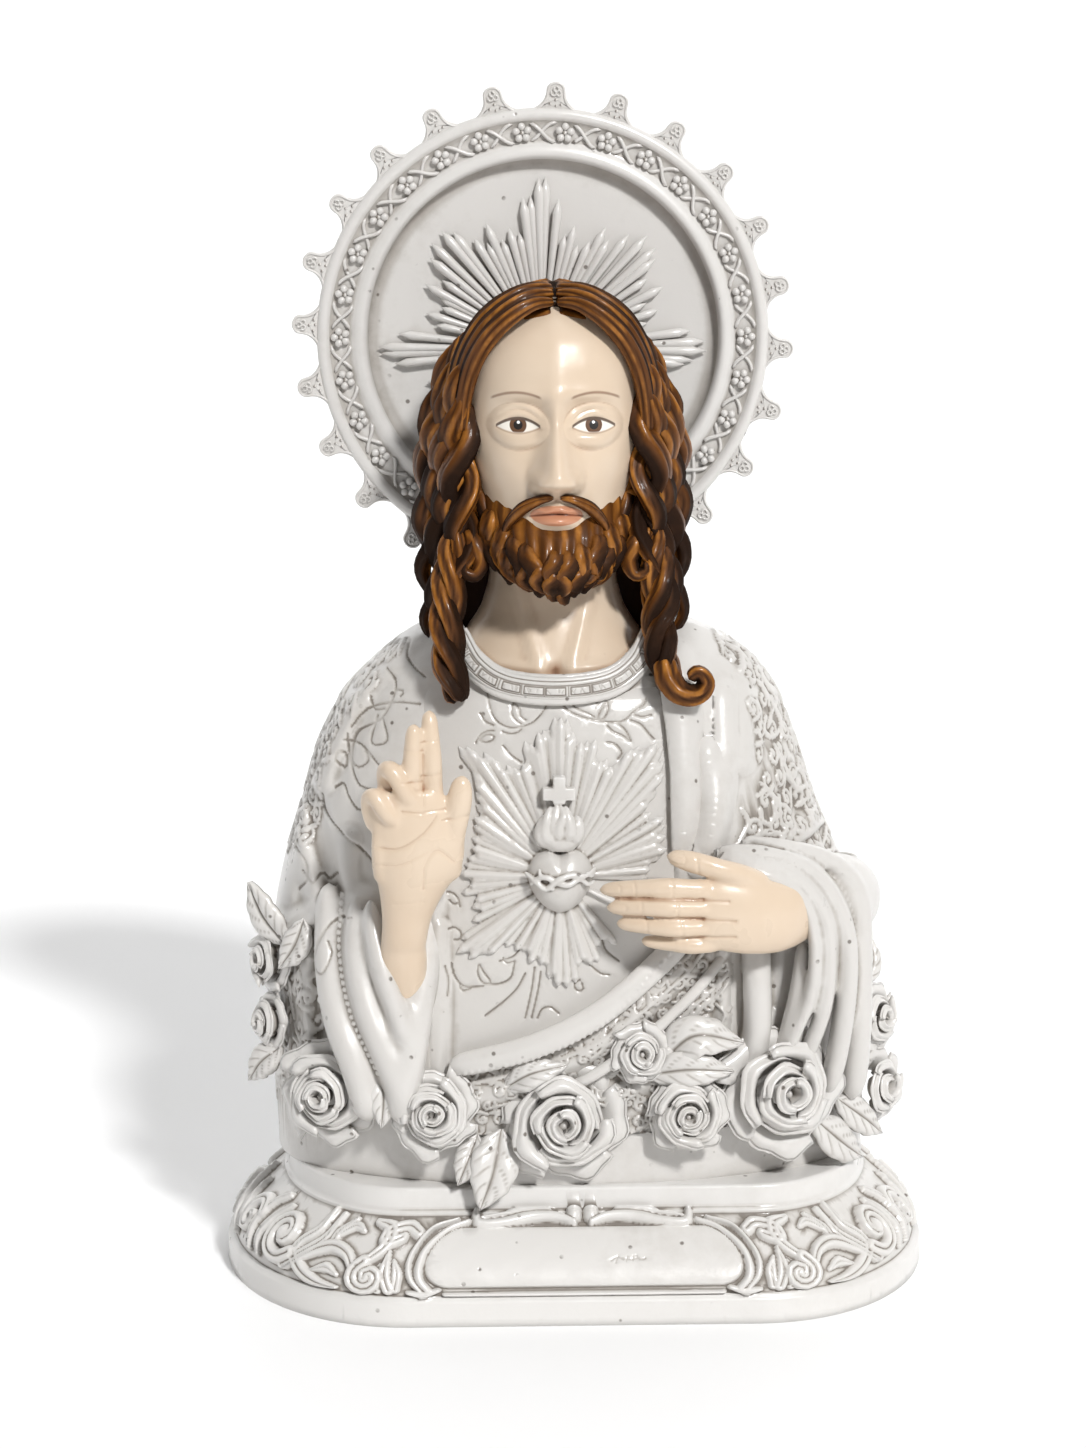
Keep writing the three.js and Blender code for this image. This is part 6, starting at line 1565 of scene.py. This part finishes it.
# count, lip, foot, level, rise, half span, first angle
full = [(5, 1.0, 0.46, -0.36, 0.28, 0.80, 0.3), (3, 0.75, 0.44, -0.14, 0.42, 1.22, 1.0),
        (3, 0.50, 0.27, 0.0, 0.46, 1.26, 0.2), (2, 0.27, 0.08, 0.14, 0.44, 1.8, 1.1)]
small = [(5, 1.0, 0.44, -0.28, 0.32, 0.82, 0.3), (3, 0.68, 0.36, -0.06, 0.44, 1.25, 1.0),
         (2, 0.36, 0.1, 0.12, 0.44, 1.8, 0.4)]
chance = np.random.default_rng(21)
for at_, radius, out_, turn, kind in [
    ((-69, -47, 27), 15.5, (-0.42, -0.9, 0.1), 0.4, full), ((-37.5, -60, 25), 13, (-0.1, -1, 0.1), 1.3, full),
    ((1.7, -59, 21.5), 18.2, (0, -1, 0.1), 2.0, full), ((25, -59, 42), 9, (0.1, -1, 0.2), 0.2, small),
    ((39, -60, 23.5), 12, (0.05, -1, 0.1), 0.9, full), ((68, -53, 28.5), 18, (0.3, -0.95, 0.12), 1.7, full),
    ((-87, -18, 62), 10.5, (-0.9, -0.45, 0.1), 0.5, small), ((-87, -22, 43), 9.5, (-0.9, -0.5, 0.1), 1.4, small),
    ((101, -14, 40.5), 10, (0.75, -0.65, 0.1), 0.8, small),
    ((101.5, -18, 19.5), 11.4, (0.7, -0.7, 0.1), 2.2, small),
]:
    rose(at_, radius, out_, turn, kind, chance)


def leaf(path, wide, out):
    """A serrated leaf with a sunken midrib and side veins"""
    curve, veins, thick = 0.22, 5, 1.1
    route = line_through(path, 26)
    t = np.linspace(0, 1, 26)
    _, up, across = ways_at(route, out)
    u = np.linspace(-1, 1, 15)
    half = wide * np.interp(t, [0, 0.12, 0.38, 0.7, 0.92, 1], [0.12, 0.6, 1, 0.78, 0.28, 0.04])[:, None]
    half = half * (1 + 0.07 * np.abs(np.sin(t * np.pi * veins)))[:, None]
    wave = np.sin((t[:, None] - 0.3 * np.abs(u)) * np.pi * veins)
    vein = np.exp(-(wave / 0.32) ** 2) * np.clip(np.abs(u) * 4 - 0.3, 0, 1) * (np.abs(u) < 0.95)
    rib = np.exp(-(u / 0.1) ** 2)[None]
    rise = half * curve * np.abs(u) ** 1.2 * 1.2 - half * curve * np.abs(u) ** 4 - 0.55 * vein - 0.8 * rib
    top, under = (route[:, None] + across[:, None] * (aside * half)[..., None] + up[:, None] * high[..., None]
                  for aside, high in ((u, rise + thick * (1 - u ** 4)), (u[::-1], rise[:, ::-1] * 0.6 - thick)))
    # darker in the veins and midrib, and on the underside: painted shade, partly wash in the veins
    mark = np.concatenate([np.maximum(0.75 * vein, 0.9 * rib) * np.ones((26, 1)) - 0.05, np.full((26, 15), 0.6)], 1)
    return skin(on_figure(np.concatenate([top, under], 1)), mark)


for path, wide, out_ in [
    ([(-17, -56, 18), (-19.6, -61.6, 6), (-23.6, -62.6, -5)], 7.4, (0.1, -1, 0.25)),
    ([(-24, -55, 16), (-27.6, -60, 8), (-30, -60, 2)], 4.6, (-0.2, -1, 0.3)),
    ([(31, -56, 38), (41, -60, 47.6), (56, -57.4, 44.6)], 6.6, (0, -1, 0.5)),
    ([(27, -57, 35), (39, -61, 37.6), (53, -59, 36.4)], 5.6, (0, -1, 0.1)),
    ([(-16, -57, 31), (-8, -61, 36.6), (3, -59, 38.6)], 4.6, (0, -1, 0.5)),
    ([(78, -46, 18), (88, -40, 8), (95, -31, 0.6)], 6.0, (0.5, -1, 0.35)),
    ([(86, -40, 22), (96, -32, 13), (102, -24, 6)], 5.2, (0.6, -1, 0.4)),
    ([(-56, -54, 38), (-52.4, -59.6, 31), (-53, -60, 20)], 5.0, (-0.1, -1, 0.1)),
    ([(-82, -24, 68), (-89, -23, 77), (-93.4, -20, 87)], 5.8, (-0.6, -0.8, 0)),
    ([(-76, -32, 78), (-79, -33, 70), (-84, -30, 62)], 5.0, (-0.5, -0.9, 0.1)),
    ([(-84, -26, 36), (-90, -24, 31), (-94, -20, 24)], 5.0, (-0.6, -0.8, 0.1)),
    ([(96, -20, 52), (99.4, -17, 59), (99, -13, 66)], 4.6, (0.6, -0.8, 0)),
    ([(88, -36, 42), (94, -31, 47), (97.6, -25, 53)], 4.4, (0.5, -0.8, 0)),
]:
    garland.append(leaf(path, wide, out_))
rose_glaze = Finish("rose_glaze")
glazed(rose_glaze)
assembled("roses", garland, rose_glaze, "statue")


# Halo. A thick cast disc behind the head: outer rim with flared teeth, a sunk channel with a raised chain
# of flowers, a ring, and a recessed field with ribbed rays in a cross. White glaze, darker in the hollows: partly
# wash, partly painted shade.
HALO_AT = np.array([-9, 0, 288.0])
ring_profile = [(0.01, 27.0), (20, 27.0), (30, 27.0), (40, 27.0), (49, 27.0), (52.6, 26.95), (53.9, 26.6),
                (54.5, 25.4), (54.9, 23.4), (55.2, 22.2), (55.8, 21.6), (56.8, 21.55), (57.8, 21.9), (58.6, 22.2),
                (59.2, 22.5), (59.6, 23.1), (60.2, 23.4), (62, 23.45), (64, 23.45), (65.7, 23.4), (66.4, 22.9),
                (66.8, 22.1), (67.4, 21.65), (68.4, 21.5), (69.4, 21.8), (70.1, 22.4), (70.5, 23.4), (70.5, 27.8),
                (70.1, 29.4), (69, 30.4), (60, 30.5), (30, 30.5), (0.01, 30.5)]
STEPS = 200
a = np.arange(STEPS) * 2 * np.pi / STEPS
dense = line_through(ring_profile, 122)
dense = dense[np.r_[True, np.hypot(*np.diff(dense, axis=0).T) > 1e-6]]
rings = np.stack([HALO_AT[0] + dense[:, 0:1] * np.sin(a), np.repeat(dense[:, 1:2], STEPS, 1),
                  HALO_AT[2] + dense[:, 0:1] * np.cos(a)], 2)
disc = shell("halo_disc", rings)
halo_glaze = Finish("halo_glaze")
glazed(halo_glaze)
finished("halo_disc", disc, halo_glaze, "halo", 0.5 * hollows(disc, 6, 30, 0.2, 1.6))

halo_skins = []


def on_halo(radius, angle, y):
    return (HALO_AT[0] + radius * math.sin(angle), y, HALO_AT[2] + radius * math.cos(angle))


# Relief of the halo. Cast in one with the disc: the chain in its channel, the teeth of its rim and the rays
# of its field. The halo's glaze.
# chain: five-petalled flowers, with a crossed pair of stems between each two
LINKS, CHAIN_AT = 30, 63.1
for k in range(LINKS):
    t0 = 2 * math.pi * (k + 0.5) / LINKS
    cx, _, cz = on_halo(CHAIN_AT, t0, 0)
    for petal in range(5):
        b = t0 + 2 * math.pi / 5 * petal
        path = [(cx + r * math.sin(b), 22.9 - h, cz + r * math.cos(b))
                for r, h in ((0.7, 0.2), (1.9, 0.75), (3.1, 0.1))]
        halo_skins.append(strand(path, (0.7, 1.25, 0.8), (0.8, 1.1, 0.7), sides=9, steps=6, round_ends=0.35))
    halo_skins.append(strand([(cx, 23, cz), (cx, 21.8, cz)], 0.8, 0.8, sides=9, steps=3, out=(1, 0, 0),
                             round_ends=0.4))
    for way in (1, -1):
        path = []
        for t in np.linspace(0, 1, 7):
            bulge = math.sin(math.pi * t)
            aside = way * 2.9 * math.cos(math.pi * (0.12 + 0.88 * t)) * (1 + 0.15 * bulge)
            along = t0 + 2 * math.pi / LINKS * (0.18 + 0.64 * t)
            path.append(on_halo(CHAIN_AT + aside, along, 23.0 - 0.3 * way * bulge))
        halo_skins.append(strand(path, 0.62, 0.95, sides=8, steps=10, round_ends=0.1))
# teeth: bells that grow out of the rim, with a raised edge, a small knot and a few beads
TEETH = 24
right = line_through([(68.9, 9.0), (69.9, 7.0), (71.0, 5.2), (72.4, 3.9), (74.0, 3.15), (75.6, 2.95), (76.8, 2.75),
                      (77.8, 1.9), (78.3, 0.7)], 22)
loop = np.vstack([right, [[78.38, 0]], (right * (1, -1))[::-1]])
outer = loop[:, 0] > 70.6
for k in range(TEETH):
    t0 = 2 * math.pi * (k + 0.2) / TEETH

    def on_tooth(r, aside, y):
        return (HALO_AT[0] + r * math.sin(t0) + aside * math.cos(t0), y,
                HALO_AT[2] + r * math.cos(t0) - aside * math.sin(t0))

    sections = [[on_tooth(r - inset * (0.5 if far else 0), aside * (1 - inset * 0.16), y)
                 for (r, aside), far in zip(loop, outer)]
                for y, inset in ((28.4, 0.8), (28.1, 0.2), (26.5, 0.0), (23.6, 0.0), (23.0, 0.3), (22.9, 0.9))]
    # tooth marks: darker towards the back behind the rim: painted shade
    halo_skins.append(skin(np.array(sections), np.repeat([[0.5, 0.3, 0.1, 0.0, 0.0, 0.15]], len(loop), 0).T))
    edge_route = [on_tooth(r - 0.35, aside * 0.86, 22.95) for r, aside in loop[1:-1:2]]
    halo_skins.append(strand(edge_route, 0.4, 0.45, sides=6, steps=26))
    for b in range(3):
        turn = b * 2 * math.pi / 3
        ring = [on_tooth(75.3 + 0.8 * math.cos(turn) + 0.8 * math.cos(q), 0.9 * math.sin(turn) + 0.8 * math.sin(q),
                         22.7) for q in np.linspace(0, 5.6, 7)]
        halo_skins.append(strand(ring, 0.36, 0.5, sides=6, steps=10))
    for r, aside in ((72.9, 0), (71.6, -1.7), (71.5, 1.7), (71.0, 0.2)):
        halo_skins.append(strand([on_tooth(r, aside, 23.2), on_tooth(r, aside, 22.4)], 0.5, 0.5, sides=6, steps=3,
                                 out=(1, 0, 0), round_ends=0.4))
# rays: half-round ribs of unequal length, the long ones in a cross, each (angle, reach)
ray_tips = [
    (-118.6, 43.9), (-111.7, 39.1), (-107.8, 35.5), (-100.4, 47.2), (-96, 51), (-93.6, 51.6), (-89, 45.3),
    (-83.8, 33.6), (-78.8, 37.2), (-74, 33), (-69.5, 34.5), (-66.2, 40.1), (-61, 36), (-55.4, 42.9), (-50.2, 45.3),
    (-44, 45.6), (-40.8, 43), (-35.2, 37.3), (-31, 34), (-26.9, 39.4), (-23.1, 32.6), (-17.5, 35.2), (-13, 33),
    (-8.3, 43.5), (-5.1, 43.8), (-1.6, 49.3), (1, 49.6), (6.6, 42.8), (12.4, 32.2), (16.1, 35.6), (21, 30.3),
    (26.3, 32.9), (30.1, 38.9), (34.5, 36.2), (40.3, 41.2), (46.2, 45), (52.2, 44.6), (55.7, 42.4), (61.4, 37.4),
    (67.9, 40.5), (72.5, 34), (77.4, 37), (83, 33), (88.1, 46.4), (92.1, 51), (95.3, 51.6), (99.3, 47.8),
    (101.4, 45.3), (108, 38), (113, 41),
]
ray_tips += [(118 + 5 * k, 33 + 5 * math.sin(k * 1.9)) for k in range(24)]
RAYS_FROM = np.array([-0.4, -4.2])
for k, (angle, reach) in enumerate(ray_tips):
    b = math.radians(angle)
    tip = np.array([reach * math.sin(b), reach * math.cos(b)])
    way = tip - RAYS_FROM
    long = np.hypot(*way)
    t = np.linspace(11 / long, 1, 6)
    path = [(HALO_AT[0] + RAYS_FROM[0] + way[0] * q, 26.3 - 0.5 * (k % 2) - 0.5 * q,
             HALO_AT[2] + RAYS_FROM[1] + way[1] * q) for q in t]
    halo_skins.append(strand(path, np.interp(t * long, [11, 30, 55], [0.5, 1.2, 1.75]), 1.7, sides=12, steps=9,
                             round_ends=0.035))
assembled("halo_relief", halo_skins, halo_glaze, "halo",
          lambda mark: np.clip(mark - 0.15, 0, 1) * 0.75)
